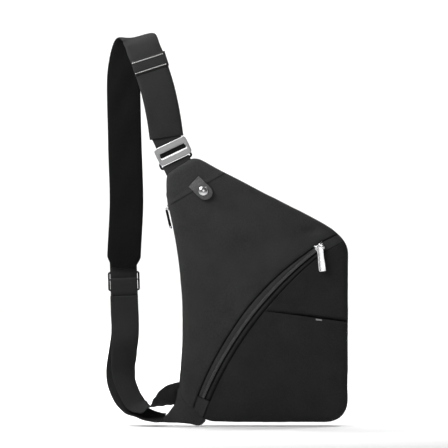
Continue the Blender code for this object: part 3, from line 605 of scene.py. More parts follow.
def fold_line(offsets, a0, a1, steps, extra=0.0):
    """Points of a fold beside the zip, between two angles in degrees."""
    out = []
    for i in range(steps + 1):
        deg = a0 + (a1 - a0) * i / steps
        r = ZIP_R + float(np.interp(deg, FOLD_DEG, offsets)) + extra
        out.append((ZIP_C[0] + r * math.cos(math.radians(deg)),
                    ZIP_C[1] + r * math.sin(math.radians(deg))))
    return out


def above_mouth(x, z):
    """Signed distance of a point above the snap pocket's mouth."""
    dx, dz = LINE_B[0] - LINE_A[0], LINE_B[1] - LINE_A[1]
    return (-(x - LINE_A[0]) * dz + (z - LINE_A[1]) * dx) / math.hypot(dx, dz)


def mouth_z(x):
    """Height of the slip pocket's mouth."""
    return 146.0 - 0.133 * x


def lumps(x, z, scale, seed):
    """Smooth random hills at each point."""
    return np.array([noise.noise(Vector((a * scale, b * scale, seed))) for a, b in zip(x, z)])


def field(x, z):
    """Depth of the body's front cloth at (x, z): rolled edge, soft belly, lazy creases."""
    x, z = np.asarray(x, float), np.asarray(z, float)
    d = np.maximum(seg_dist(x, z, SHELL_LOOP[::2]), 0.0)
    y = FRONT_Y + 3.1 * np.exp(-d / 2.6) + 0.9 * np.exp(-d / 9.0)
    belly = np.exp(-(((x - 25) / 90) ** 2 + ((z - 95) / 80) ** 2))
    y = y - 1.9 * belly * (1 - np.exp(-d / 25))
    calm = np.exp(-(((x - SLIDER_AT[0]) / 30) ** 2 + ((z - SLIDER_AT[1]) / 26) ** 2))
    soft = (0.75 * lumps(x, z, 1 / 62, 1.3) + 0.30 * lumps(x, z, 1 / 23, 5.2)
            + 0.10 * lumps(x, z, 1 / 9, 8.8))
    y = y - soft * (1 - np.exp(-d / 12)) * (1 - 0.7 * calm)
    # the dimple where the zip's end pulls the cloth in
    y = y + 3.4 * np.exp(-(((x - 71) / 10) ** 2 + ((z - 249.5) / 5.5) ** 2))
    # shallow crease running from the tab down to the left edge
    s = ((x + 60) * 0.50 + (z - 250) * 0.866)
    q = ((x + 60) * 0.866 - (z - 250) * 0.50)
    y = y + 0.7 * np.exp(-(s / 5) ** 2 - (q / 38) ** 2)
    return y


def hem(d, thick):
    """Round-over of a folded edge at distance d from the fold."""
    r = thick / 2
    t = np.clip(1 - d / r, 0, 1)
    return r * (1 - np.sqrt(np.maximum(0, 1 - t * t)))


def cloth_panel(name, loop, mat, body, y_fn=field, thick=1.0, fold=None, fold_w=6.0,
                fold_lift=0.35, grid=2.6, rows=(0.18, 0.5, 1.1, 2.2), replaces=(),
                uv_turn=0.0, round_all=False):
    """Sheet of cloth over a loop in (x, z), at the depth y_fn gives.

    fold is the line of its folded edge; round_all folds the whole edge. rows are the
    distances of the first rows of points from the edge, and grid is the step inside."""
    loop = [tuple(p) for p in loop]
    a = np.array(loop)
    area2 = np.sum(a[:, 0] * np.roll(a[:, 1], -1) - np.roll(a[:, 0], -1) * a[:, 1])
    if area2 < 0:
        loop = loop[::-1]
        a = a[::-1]
    # points for the triangles: rows along the edge, then an even grid inside them
    cand = []
    for off in rows:
        q = a - outward(a) * off
        ok = inside(q[:, 0], q[:, 1], a) & (seg_dist(q[:, 0], q[:, 1], a) > off * 0.8)
        cand += [tuple(p) for p in q[ok]]
    lo, hi = a.min(0), a.max(0)
    g = []
    row, z = 0, lo[1]
    while z < hi[1]:
        x = lo[0] + (grid / 2 if row % 2 else 0.0)
        while x < hi[0]:
            g.append((x, z))
            x += grid
        z += grid * 0.866
        row += 1
    g = np.array(g)
    g = g[inside(g[:, 0], g[:, 1], a)]
    if len(g):
        ok = seg_dist(g[:, 0], g[:, 1], a) > rows[-1] + grid * 0.45
        cand += [tuple(p) for p in g[ok]]
    m = len(loop)
    out = delaunay_2d_cdt([Vector(p) for p in loop + cand],
                          [(i, (i + 1) % m) for i in range(m)], [], 1, 1e-5)
    vs, faces = out[0], out[2]
    x = np.array([v[0] for v in vs])
    z = np.array([v[1] for v in vs])
    front = y_fn(x, z)
    back = front + thick
    if fold is not None or round_all:
        d = seg_dist(x, z, a if round_all else fold, closed=round_all)
        round_over = hem(d, thick + fold_lift)
        front = front - fold_lift * (1 / (1 + np.exp((d - fold_w) / 0.5))) + round_over
        back = back - round_over * 0.9
    count = len(vs)
    verts = [W(x[i], front[i], z[i]) for i in range(count)]
    verts += [W(x[i], max(back[i], front[i] + 0.06), z[i]) for i in range(count)]
    polys = []
    for f in faces:
        polys += [tuple(f), tuple(count + i for i in reversed(f))]
    edges = dict.fromkeys((f[i], f[(i + 1) % len(f)]) for f in faces for i in range(len(f)))
    polys += [(q, p, count + p, count + q) for p, q in edges if (q, p) not in edges]
    c, s = math.cos(uv_turn), math.sin(uv_turn)
    uv = [((x[i] * c + z[i] * s) * MM, (-x[i] * s + z[i] * c) * MM) for i in range(count)] * 2
    return skin(name, verts, polys, mat, body, uv, replaces)


# -------------------------------------------------------- body: fabric ----
def mouth_line(x, z):
    """Point of the snap pocket's mouth nearest to (x, z)."""
    t = above_mouth(x, z)
    dx, dz = LINE_B[0] - LINE_A[0], LINE_B[1] - LINE_A[1]
    ln = math.hypot(dx, dz)
    return (x + dz / ln * t, z - dx / ln * t)


def slip_y(x, z):
    """Depth of the slip pocket's panel, which gapes towards the right of its mouth."""
    near = np.exp(-np.maximum(0, mouth_z(x) - z) / 7.0)
    gape = 0.15 + 1.5 / (1 + np.exp(-(x - 42) / 16))
    return field(x, z) - gape * near - 0.15


def body_front():
    """The four panels of the front: main, yoke, lower front and slip pocket."""
    shell = [tuple(p) for p in SHELL_LOOP]
    mouth_gap = 0.3

    def main_y(x, z):
        gap = np.maximum(across(x, z) - fold_radius(x, z, FOLD_OUT), 0.0)
        return field(x, z) + 1.2 * np.exp(-gap / 2.2)

    below = follow(clip_loop(shell, lambda x, z: -above_mouth(x, z) - mouth_gap), mouth_line)
    main = clip_loop(below, lambda x, z: float(across(x, z) - fold_radius(x, z, FOLD_OUT)))
    cloth_panel("main_front_cloth", follow(main, on_fold(FOLD_OUT)), M_FAB, "bag", y_fn=main_y,
                thick=1.1, fold=np.array(fold_line(FOLD_OUT, 120.0, 164.0, 120)), fold_w=0.5,
                fold_lift=0.0, rows=(0.18, 0.5, 1.0, 1.7, 2.8), replaces=("front_panel",))
    yoke = follow(clip_loop(shell, lambda x, z: above_mouth(x, z) - mouth_gap), mouth_line)
    cloth_panel("tip_yoke_cloth", yoke, M_FAB, "bag", thick=1.1,
                fold=np.array(refine([(-118, 278.2), (-36, 325.7)], 3.0, closed=False)),
                fold_w=4.0, fold_lift=0.7, replaces=("tip_yoke",), uv_turn=0.5)

    def lower_y(x, z):
        below_mouth = 1 / (1 + np.exp(-(mouth_z(x) + 1.5 - z) / 1.0))
        gape = 1.5 + 2.6 / (1 + np.exp(-(x - 38) / 9))
        return field(x, z) + 0.3 + gape * below_mouth * 1.1

    lower = follow(clip_loop(shell, lambda x, z: float(fold_radius(x, z, FOLD_IN) - across(x, z))),
                   on_fold(FOLD_IN))
    top = clip_loop(lower, lambda x, z: z - mouth_z(x) + 26.0)
    # this panel and the slip pocket below take the darker polyester, painted shade
    cloth_panel("lower_front_cloth", follow(top, lambda x, z: (x, z)), M_FAB_SHADED, "bag",
                y_fn=lower_y, thick=0.9, fold=np.array(fold_line(FOLD_IN, 120.0, 164.0, 120)),
                fold_w=5.0, replaces=("lower_front_panel",))
    slip = follow(clip_loop(lower, lambda x, z: mouth_z(x) - z), lambda x, z: (x, mouth_z(x)))
    lip = refine([(-60.0, mouth_z(-60.0)), (120.0, mouth_z(120.0))], 2.0, closed=False)
    cloth_panel("slip_pocket_cloth", slip, M_FAB_SHADED, "bag", y_fn=slip_y, thick=0.9,
                fold=np.array(lip), fold_w=4.5, fold_lift=0.3, replaces=("slip_pocket_panel",))


body_front()


def in_top(x, z):
    """Distance of a point inside the outline at the upper right corner."""
    if x > CORNER_C[0] and z > CORNER_C[1]:
        return CORNER_R - math.dist((x, z), CORNER_C)
    return CORNER_C[0] + CORNER_R - x


def zip_frame(angle):
    """Point of the front zip's line, with the directions along and across the zip."""
    out = Vector((math.cos(angle), 0.0, math.sin(angle)))
    along = Vector((math.sin(angle), 0.0, -math.cos(angle)))
    return Vector((ZIP_C[0], 0.0, ZIP_C[1])) + out * ZIP_R, along, out


def front_zip():
    """Curved zip: two tapes, the two bindings beside it, its coils and its end strips."""
    top, low = math.degrees(A_TOP), math.degrees(A_END)
    middle = [0.0] * len(FOLD_DEG)

    def band(outer, outer_extra, inner, inner_extra, a0=top, a1=low, steps=90):
        return (fold_line(outer, a0, a1, steps, outer_extra)
                + fold_line(inner, a0, a1, steps, inner_extra)[::-1])

    def sunk(depth):
        return lambda x, z: field(x, z) + depth

    outer_band, inner_band = band(FOLD_OUT, 1.6, middle, 0.35), band(middle, -0.35, FOLD_IN, -1.6)
    # the sunk tapes' dark grey is painted shade in the gaps beside the bindings
    for name, loop, node, turn in (
            ("zip_tape_outer_cloth", outer_band, "front_zip_tape_outer", 0.7),
            ("zip_tape_inner_cloth", inner_band, "front_zip_tape_inner", -0.7)):
        cloth_panel(name, loop, M_TAPE_SHADED, "bag", y_fn=sunk(2.6), thick=0.5, grid=2.0,
                    rows=(0.3, 0.9), replaces=(node,), uv_turn=turn)

    def outer_y(x, z):
        lip = np.clip((across(x, z) - fold_radius(x, z, FOLD_OUT, -4.6)) / 2.6, 0.0, 1.2)
        return field(x, z) + 0.1 + 1.1 * lip ** 2

    def inner_y(x, z):
        lip = np.clip((across(x, z) - fold_radius(x, z, middle, -6.4)) / 2.2, -1.2, 1.2)
        return field(x, z) + 0.1 + 0.9 * lip ** 2

    # the inner binding takes the darker polyester, painted shade
    for name, loop, cloth, depth in (
            ("zip_outer_binding", band(FOLD_OUT, -1.9, middle, 1.5), M_FAB, outer_y),
            ("zip_inner_binding", band(middle, -4.2, FOLD_IN, 1.4), M_FAB_SHADED, inner_y)):
        cloth_panel(name, loop, cloth, "bag", y_fn=depth, thick=0.8, grid=2.0,
                    rows=(0.2, 0.5, 1.0, 1.6), round_all=True, fold_w=0.1, fold_lift=0.0)

    # the two coils: a row of close turns on each side of the closing line, their light grey partly
    # a painted highlight
    pitch, sink = 1.35, 0.7
    bend = [(-1.05, 0.25), (-0.85, -0.35), (-0.3, -0.62), (0.3, -0.62), (0.85, -0.35),
            (1.05, 0.25)]
    count = int(ZIP_R * (A_END - A_TOP) / pitch)
    for name, off, lag, node in (("zip_coil_outer", 0.95, 0.0, "front_zip_coil_outer"),
                                 ("zip_coil_inner", -0.95, 0.5, "front_zip_coil_inner")):
        frames = [zip_frame(A_TOP + (A_END - A_TOP) * (i + lag) / count) for i in range(count)]
        deep = field([f[0].x for f in frames], [f[0].z for f in frames])
        turns = [(c + out * off + Y_AXIS * float(y + sink), out * 0.9, along, Y_AXIS)
                 for (c, along, out), y in zip(frames, deep)]
        coil(name, turns, bend, 0.5, 0.32, node, lean=0.12)

    end = refine(band(FOLD_OUT, -1.2, FOLD_IN, 1.2, 157.3, 160.9, 12), 1.8)
    end = clip_loop(end, lambda x, z: (z - 2.0) if x > -70 else (z - 5.0 + (x + 70) * 1.15))
    cap = refine(band(FOLD_OUT, -1.3, FOLD_IN, 0.5, 120.8, 126.6, 24), 1.8)
    cap = clip_loop(cap, lambda x, z: in_top(x, z) - 0.2)
    for name, loop, depth, node in (
            ("zip_lower_garage", end, -0.35, "front_zip_garage_end"),
            ("zip_upper_garage", cap, 0.15, "front_zip_garage_top")):
        cloth_panel(name, loop, M_FAB, "bag", y_fn=sunk(depth), thick=1.0, grid=2.2,
                    round_all=True, fold_w=0.2, fold_lift=0.0, replaces=(node,))


front_zip()


def side_wall():
    """Gusset round the whole body, open along the side zip on the slanted edge."""
    loop, n = SHELL_LOOP, outward(SHELL_LOOP)
    count = len(loop)
    front = field(loop[:, 0], loop[:, 1])
    # rows of points from the front edge to the back: how far each bulges, and its depth
    push = [-1.6, -0.5, 0.1, 0.5, 0.7, 0.5, 0.15, 0.6, 0.1, -0.1, -0.5, -1.2]
    zip_front, zip_back, back = 2.2, 9.8, 10.9
    near = (0.0, 0.03, 0.08, 0.16, 0.3, 0.45)
    far = [zip_front, 6.0, zip_back]
    far += [zip_back + (back - zip_back) * (r - 0.85) / 0.15 for r in (0.93, 0.97, 1.0)]
    rip = [noise.noise(Vector((p[0] * 0.05, p[1] * 0.05, 11.0))) for p in loop]
    run = np.concatenate([[0], np.cumsum(np.linalg.norm(np.diff(loop, axis=0), axis=1))])
    verts, uvs, faces = [], [], []
    for i, (x, z) in enumerate(loop):
        by_zip = x < -90 and 60 < z < 302
        edge = front[i] + 0.7
        depths = [edge + (zip_front - edge) * r / 0.55 for r in near] + far
        for k, (out, y) in enumerate(zip(push, depths)):
            if by_zip:
                out *= 0.3 if 4 < k < 9 else 1.0
            elif 2 < k < 9:
                out += 0.35 * rip[i]
            verts.append(W(x + n[i][0] * (out - 0.35), y, z + n[i][1] * (out - 0.35)))
            uvs.append((run[i] * MM, y * MM))
    rows = len(push)
    for i in range(count):
        j = (i + 1) % count
        opened = loop[i][0] < -90 and 66.0 < (loop[i][1] + loop[j][1]) / 2 < 296.0
        for k in range(rows - 1):
            if not (opened and k in (6, 7)):
                faces.append((i * rows + k, i * rows + k + 1, j * rows + k + 1, j * rows + k))
    ob = skin("side_wall_cloth", verts, faces, M_FAB, "bag", uvs, ("gusset",))
    m = ob.modifiers.new("thickness", "SOLIDIFY")
    m.thickness = 0.8 * MM
    m.offset = -1.0


side_wall()


def back_parts():
    """Quilted back, the foam in it, and the lining that divides the two pockets."""
    loop = [tuple(p) for p in EDGE_LOOP[::2]]

    def quilt(x, z):
        d = seg_dist(x, z, EDGE_LOOP[::2])
        swell = 2.3 * (1 - np.exp(-d / 6.0))
        wave = 0.35 * lumps(x, z, 1 / 40, 21.0)
        groove = np.exp(-((d - 13.0) / 1.1) ** 2)
        for off in (-62.0, 0.0, 62.0):
            s = x * 0.455 + (z - 150 - off) * 0.89
            groove = np.maximum(groove, np.exp(-(s / 1.2) ** 2) * (d > 12.0))
        return BACK_Y + 0.4 + swell + wave * (1 - np.exp(-d / 10)) - 1.7 * groove

    ob = cloth_panel("quilted_back", loop, M_BACK, "bag", y_fn=lambda x, z: np.full(len(x), 10.85),
                     thick=1.0, grid=2.8, replaces=("back_panel",))
    # the outer half of the sheet's points takes the quilted depth
    me = ob.data
    co = np.zeros(len(me.vertices) * 3)
    me.vertices.foreach_get("co", co)
    outer = co.reshape(-1, 3)[len(me.vertices) // 2:]
    outer[:, 1] = (quilt(outer[:, 0] / MM - ORG.x, outer[:, 2] / MM - ORG.z) + ORG.y) * MM
    me.vertices.foreach_set("co", co)
    me.update()
    foam = cloth_panel("back_foam_sheet", inset_loop(5.0), M_LINING, "bag",
                       y_fn=lambda x, z: 8.2 + 0.3 * lumps(x, z, 1 / 30, 2.0), thick=2.0,
                       grid=6.0, round_all=True, fold_lift=0.0, replaces=("back_foam",))
    cloth_panel("divider_lining", inset_loop(2.4), M_LINING, "bag",
                y_fn=lambda x, z: 1.2 + 0.7 * lumps(x, z, 1 / 45, 4.0), thick=0.5, grid=6.0,
                replaces=("divider_panel",))


def inset_loop(amount):
    """The outline drawn in by an amount, with soft corners."""
    loop = EDGE_LOOP[::2]
    return smooth_loop(refine([tuple(p) for p in loop - outward(loop) * amount], 3.0), 4)


back_parts()

# --------------------------------------------------------------- straps ----
# where the strap hangs: (point, direction across it), from the buckle over the crest
REST = [((-117.2, 0.5, 368.4), (0.981, 0, 0.193)), ((-121.4, -1.5, 397.4), (0.978, 0, 0.21)),
        ((-128.4, -2.5, 429.5), (0.965, 0, 0.262)), ((-138.7, -2.0, 462.4), (0.953, 0, 0.304)),
        ((-146.6, 0.0, 482.0), (0.93, 0, 0.367)), ((-150.4, 4.3, 492.8), (0.93, 0.12, 0.34)),
        ((-155.2, 14.0, 498.0), (0.945, 0.22, 0.24)), ((-161.5, 24.0, 493.2), (0.98, 0.17, 0.03)),
        ((-167.4, 29.8, 481.5), (0.994, 0, -0.08)), ((-172.0, 36.0, 462.0), (0.995, 0, -0.08)),
        ((-174.0, 41.0, 440.0), (1, 0, -0.03)), ((-173.6, 46.0, 400.0), (1, 0, 0)),
        ((-172.6, 47.0, 358.7), (1, 0, 0)), ((-170.4, 42.0, 288.0), (1, 0, 0)),
        ((-172.6, 30.0, 228.0), (1, 0, 0)), ((-173.8, 24.6, 199.5), (1, 0, 0))]
BAND_MID = Vector((-138.6, -2.0, 464.0))
B_AX = Vector((0.953, 0.0, 0.304)).normalized()
B_UP = Vector((-0.337, 0.045, 0.94))
B_UP = (B_UP - B_AX * B_UP.dot(B_AX)).normalized()
B_OUT = B_AX.cross(B_UP)


def shoulder_strap():
    """Padded strap over the crest, creased on its back run and gathered at its end."""
    def shape(u, h, t, length):
        edge = abs(u) / 22.0
        puff = 1.0 - 0.35 * max(0.0, (edge - 0.8) / 0.2)
        wob = 0.5 * noise.noise(Vector((length * 0.03, u * 0.06, 2.0)))
        crease = 0.0
        if 0.50 < t < 0.90:
            crease = (0.9 * math.sin(math.pi * (t - 0.50) / 0.40)
                      * math.sin(length * 0.085 + u * 0.11) * math.exp(-((u + 4) / 15) ** 2))
        narrow = 0.0
        if edge > 0.9:
            narrow = 0.25 * noise.noise(Vector((length * 0.02, 9.0, math.copysign(4.0, u))))
        gather = smooth_step(min(1.0, max(0.0, (t - 0.955) / 0.045)))
        pleat = 0.5 * gather * math.sin(u * 1.1)
        return ((u + narrow) * (1 - 0.26 * gather),
                h * puff * (1 - 0.4 * gather) + wob + crease + pleat)

    ob = sweep("shoulder_strap_cover", catmull(REST, 14), section(44.0, 4.0, 1.6, 0.25, 20),
               M_STRAP, "bag", ("shoulder_strap",), shape,
               lined=(M_STRAP_IN, range(23, 45)))


shoulder_strap()


def at_band(u, v, out):
    """Point over the strap at the band: across it, along it and in front of it."""
    return BAND_MID + B_AX * u + B_UP * v + B_OUT * out


def keeper():
    """Band sewn across the crest where the strap is doubled, with two bright seams."""
    nu, nv = 44, 18
    seam_v = 7.0
    verts, uvs, faces = [], [], []
    for outer in (True, False):
        for i in range(nu + 1):
            for j in range(nv + 1):
                a, b = -1 + 2 * i / nu, -1 + 2 * j / nv
                u = a * 22.9
                v = b * 10.0 + 0.25 * noise.noise(Vector((u * 0.2, b, 4.0)))
                dent = 0.35 * math.exp(-(abs(abs(v) - seam_v) / 0.9) ** 2)
                crinkle = 0.16 * noise.noise(Vector((u * 0.45, v * 0.7, 2.0)))
                edge = max(abs(a) ** 14, abs(b) ** 14)
                out = 3.35 + 0.25 * (1 - b * b) - dent + crinkle - 0.75 * edge
                verts.append(Wv(at_band(u, v, out if outer else 2.45)))
                uvs.append((u * MM, v * MM))
    row = nv + 1
    full = (nu + 1) * row
    for i in range(nu):
        for j in range(nv):
            q = (i * row + j, i * row + j + 1, (i + 1) * row + j + 1, (i + 1) * row + j)
            faces += [q, tuple(full + k for k in reversed(q))]
    rim = [i * row for i in range(nu)] + [nu * row + j for j in range(nv)]
    rim += [i * row + nv for i in range(nu, 0, -1)] + list(range(nv, 0, -1))
    faces += [(a, b, full + b, full + a) for a, b in zip(rim, rim[1:] + rim[:1])]
    skin("keeper_band_cloth", verts, faces, M_BAND, "bag", uvs, ("keeper_band",))
    for name, v, node in (("keeper_upper_seam", seam_v, "keeper_stitch_upper"),
                          ("keeper_lower_seam", -seam_v, "keeper_stitch_lower")):
        seam(name, lambda s, b, out: at_band(s, v + b, 3.55 + out),
             [-22.0 + 2.5 * k for k in range(17)], 1.7, 0.5, 0.42, (0.4, 0.1, 0.0, 0.1, 0.4),
             M_THREAD, "bag", (node,), tilt=0.2, grain=0.0002)


keeper()

# ------------------------------------------------------- buckle and ring ----
TILT = math.radians(25.4)
B_C = Vector((-109.1, 0.0, 351.1))
B_U = Vector((math.cos(TILT), 0.0, math.sin(TILT)))
B_V = Vector((-math.sin(TILT), 0.0, math.cos(TILT)))


def at(u, v, y):
    """Point by the buckle: across it, up it and behind it."""
    return B_C + B_U * u + B_V * v + Vector((0.0, y, 0.0))


def hairpin(radius, v_far, y_bar, y_back):
    """Webbing round the buckle's bar: down its front, round the bar and up behind it."""
    n, steps = 14, 10
    pts = [(v_far * (1 - i / n), (y_bar - radius) * smooth_step(i / n)) for i in range(n)]
    for i in range(steps + 1):
        a = math.pi * i / steps
        pts.append((-radius * math.sin(a), y_bar - radius * math.cos(a)))
    for i in range(1, n + 1):
        y = y_bar + radius
        pts.append((v_far * i / n, y + (y_back - y) * smooth_step(i / n)))
    return [(at(0.0, v, y), B_U) for v, y in pts]


def buckle_plate():
    """Flat plate with a rolled rim and a slot through it."""
    half_u, half_v, slot_u = 22.5, 12.0, 18.5
    outer = np.array(refine(round_rect(-half_u, half_u, -half_v, half_v, 4.2, 8), 1.0))
    inner = np.array(refine(round_rect(-slot_u, slot_u, -4.0, 3.2, 1.4, 8), 0.5))
    # inner points follow the outer ones, so that the two loops bridge evenly
    mid = np.array([(0.0, -0.4)])
    ang_i = np.arctan2((inner - mid)[:, 1] / 3.6, (inner - mid)[:, 0] / slot_u)
    ang_o = np.arctan2((outer - mid)[:, 1] / half_v, (outer - mid)[:, 0] / half_u)
    inner = inner[[int(np.argmin(np.abs(np.angle(np.exp(1j * (ang_i - a)))))) for a in ang_o]]
    # rings from the rim over the front to the slot and back: (share of the way in, depth)
    prof = [(0.0, -4.2), (0.02, -4.62), (0.07, -4.92), (0.16, -5.0), (0.6, -5.0), (0.84, -4.98),
            (0.93, -4.86), (0.985, -4.55), (1.0, -4.1), (1.0, -3.5), (0.97, -3.1), (0.1, -3.0),
            (0.03, -3.1), (0.0, -3.5)]
    verts = [Wv(at(u, v, y - 0.35 * (1 - (u / half_u) ** 2)))
             for t, y in prof for u, v in outer * (1 - t) + inner * t]
    skin("buckle_plate", verts, ring_faces(0, len(prof), len(outer), closed=True), M_GUN,
         "buckle", None, ("hook_buckle",))


def buckle_parts():
    """Buckle with its lugs, rear bar and hook, the ring it hooks, and the strap's neck."""
    buckle_plate()
    for s, name in ((-1, "buckle_lug_left"), (1, "buckle_lug_right")):
        tube(name, [at(s * u, v, y) for u, v, y in
                    ((21.4, 0.6, -3.2), (21.4, 0.45, -2.2), (21.4, 0.1, -0.6), (21.4, 0.0, 0.4),
                     (21.3, 0.0, 1.6))], 1.5, M_GUN, "buckle", 12)
    tube("buckle_rear_bar", [at(-22.3 + 44.6 * i / 16, 0.0, 1.0) for i in range(17)], 1.2, M_GUN,
         "buckle", 14)
    # a tongue turned back from the plate's lower edge
    hook = [(-10.0, -3.2), (-10.8, -2.6), (-11.1, -1.4), (-11.0, 0.6), (-10.6, 2.2), (-9.4, 3.5),
            (-8.0, 3.9), (-6.4, 3.6), (-5.9, 3.1)]
    sweep("buckle_hook", catmull([(at(0, v, y), B_U) for v, y in hook], 4),
          section(18.0, 1.3, 0.5, 0.0, 6), M_GUN, "buckle", (),
          lambda u, h, t, ln: (u * (1 - 0.22 * t * t), h))
    wire = refine(round_rect(-22.9, 19.4, -15.6, -8.0, 2.2, 6), 1.2)
    tube("tip_ring_wire", [at(u, v, 0.2) for u, v in wire], 1.5, M_BLACKM, "ring", 14, True,
         ("tip_ring",))
    sweep("strap_neck_webbing", hairpin(2.2, 28.0, 1.0, 1.2), section(36.0, 1.15, 0.5, 0.0, 12),
          M_WEB, "bag", ("strap_neck",))


def tip_loop():
    """Fabric loop sewn into the tip, round the ring's lower bar."""
    v_bar, y_bar, rad, low = -15.6, 0.2, 2.35, -22.3
    pts = [(low - 3.0, -3.4), (low, -2.7), (-19.4, -2.3), (-17.2, -2.15)]
    pts += [(v_bar + rad * math.sin(math.pi * i / 10), y_bar - rad * math.cos(math.pi * i / 10))
            for i in range(11)]
    pts += [(-17.2, 2.6), (-20.0, 2.6), (low, 2.6), (low - 2.2, 2.6)]
    # the loop takes the lighter copy of the webbing, painted light
    sweep("tip_loop_webbing", [(at(-2.1, v, y), B_U) for v, y in pts],
          section(37.4, 1.2, 0.5, 0.0, 12), M_WEB_LIT, "bag", ("tip_loop",))


buckle_parts()
tip_loop()

# ------------------------------------------------------ adjuster, webbing ----
RUN = Vector((2.8, 0.0, -85.0)).normalized()
SIDE = Vector((-RUN.z, 0.0, RUN.x))
Y_RUN, BAR_Z, S_HALF = 28.0, 184.8, 19.4


def on_run(z, y):
    """Point of the webbing's straight run at a height."""
    return Vector((-174.1 + (205.0 - z) * 2.8 / 85.0, y, z))


def adjuster():
    """Wire frame with a middle bar, and the webbing's end sewn round that bar."""
    mid = on_run(BAR_Z, Y_RUN)

    def p(a, s, y):
        return mid + SIDE * s + RUN * a + Y_AXIS * y

    wire_y, bar_y = 2.2, -3.6
    wire = refine(round_rect(-S_HALF, S_HALF, -9.4, 13.6, 2.0, 5), 1.2)
    tube("strap_slider_wire", [p(a, s, wire_y) for s, a in wire], 1.25, M_BLACKM, "adjuster", 12,
         True, ("strap_slider",))
    ends = [(0.0, wire_y), (0.3, 0.8), (0.7, -1.6), (1.6, -3.3)]
    bar = [p(0, inset - S_HALF, y) for inset, y in ends]
    bar += [p(0, (2 * S_HALF - 5.2) * i / 12 - S_HALF + 2.6, bar_y) for i in range(13)]
    bar += [p(0, S_HALF - inset, y) for inset, y in reversed(ends)]
    tube("strap_slider_bar", bar, 0.9, M_BLACKM, "adjuster", 12)
    # doubled end of the webbing: down its front, round the bar and back
    rad, reach = 1.85, 20.8
    fold = [(22.0 - reach * i / 9, bar_y - rad + 0.5 * (1 - i / 9)) for i in range(10)]
    fold += [(-rad * math.sin(math.pi * i / 9), bar_y - rad * math.cos(math.pi * i / 9))
             for i in range(1, 9)]
    fold += [(1.2 + reach * i / 9, bar_y + rad - 0.6 * i / 9) for i in range(10)]
    sweep("webbing_loop_fold", [(p(a, 0, y), SIDE) for a, y in fold],
          section(35.0, 1.1, 0.45, 0.0, 12), M_WEB, "adjuster", ("webbing_loop_end",),
          lambda u, h, t, ln: (u, h + 0.12 * noise.noise(Vector((u * 0.12, ln * 0.1, 3.0)))))
    for row, a in enumerate((4.4, 19.6)):
        front = bar_y - rad + 0.5 * (1 - (22.0 - a) / reach) - 0.62
        seam("loop_fold_seam_%d" % (row + 1), lambda s, b, out: p(a + b, s, front - out),
             [-16.0 + 3.0 * k for k in range(11)], 2.2, 0.25, 0.2, (0.3, 0.06, 0.0, 0.06, 0.3),
             M_DTHREAD, "adjuster")


adjuster()

# both layers of the webbing: (point, direction across it), from the slider to the corner
FRONT_RUN = [(on_run(164, 20.2), SIDE), (on_run(140, 20.2), SIDE), (on_run(121, 19.8), SIDE),
             ((-172.4, 18, 92), (0.90, 0.42, 0.08)), ((-173.5, 15.5, 69.5), (0.80, 0.57, 0.17)),
             ((-170.7, 12.5, 50.9), (0.75, 0.66, 0.02)), ((-159.7, 9, 27.7), (0.576, 0.736, 0.356)),
             ((-147.5, 6.5, 20), (0.41, 0.85, 0.32)), ((-135.9, 5, 21.2), (0, 0.99, -0.13)),
             ((-127.5, 4, 26.6), (0.02, 0.87, -0.49)), ((-118.5, 3, 32.4), (-0.08, 0.68, -0.73)),
             ((-109.4, 2, 36.4), (-0.16, 0.57, -0.80)), ((-97.5, 1.3, 38.8), (-0.2, 0.52, -0.83))]
REAR_RUN = [(on_run(212, 28), SIDE), (on_run(160, 28), SIDE), (on_run(122, 28), SIDE),
            ((-175.5, 26.5, 92), (0.97, 0.24, 0.03)), ((-179.2, 23.5, 70), (0.93, 0.35, 0.08)),
            ((-178.6, 19.5, 51.5), (0.88, 0.44, 0.12)), ((-171, 14, 33.5), (0.76, 0.50, 0.40)),
            ((-162, 10, 22.3), (0.54, 0.65, 0.52)), ((-147.5, 6, 12.6), (0.24, 0.89, 0.36)),
            ((-131.6, 3.4, 7.6), (0.26, 0.92, 0.28)), ((-120.5, 2.0, 6.6), (0.29, 0.93, 0.24))]


def webbing():
    """Front and rear layers of the webbing, down to the corner tab."""
    for name, run, width, node, seed in (
            ("front_webbing", FRONT_RUN, 36.0, "webbing_front_layer", 3.0),
            ("rear_webbing", REAR_RUN, 35.2, "webbing_rear_layer", 6.0)):
        sweep(name, catmull(run, 12), section(width, 1.3, edge=0.5, crown=0.0, n=14), M_WEB, "bag",
              (node,), lambda u, h, t, length: (
                  u, h + 0.3 * noise.noise(Vector((length * 0.018, u * 0.05, seed)))))


webbing()

WING = [(-97.5, 47), (-102.6, 46), (-104.0, 33), (-107.2, 23.8), (-111.3, 18.2), (-115.3, 12.6),
        (-121.7, 6.9), (-127.0, 3.1), (-126.0, 1.4), (-115.3, 0.6), (-102.4, 0.6), (-86.3, -0.8),
        (-78.2, -2.8), (-72.0, -2.3), (-66.0, 3.4), (-80.0, 18.5), (-94.0, 32.0)]


def corner_tab():
    """Padded tab that holds the webbing's lower end, thicker at its root."""
    loop = smooth_loop(refine(WING, 1.5), 2)

    def y_fn(x, z):
        d = seg_dist(x, z, loop)
        root = 1 / (1 + np.exp(-(x + 107.0) / 4.0))
        return -3.6 - 3.9 * root - 0.7 * (1 - np.exp(-d / 2.5)) + 0.35 * lumps(x, z, 1 / 12, 14.0)

    cloth_panel("corner_tab_cloth", loop, M_FAB, "bag", y_fn=y_fn, thick=8.4, grid=2.0,
                rows=(0.3, 0.9, 1.8), replaces=("corner_tab",))


corner_tab()


# --------------------------------------------------------------- snap tab ----
ROOT = Vector((-82.3, -11.9, 311.9))
T_AX = Vector((0.694, 0.0, 0.72)).normalized()
T_DIR = Vector((0.72, 0.0, -0.694)).normalized()
TAB_W, TAB_L = 19.0, 30.4


def tab_point(a, s, y):
    """a along the tab from its root, s across it, y in front of the root."""
    return ROOT + T_DIR * a + T_AX * s + Y_AXIS * y


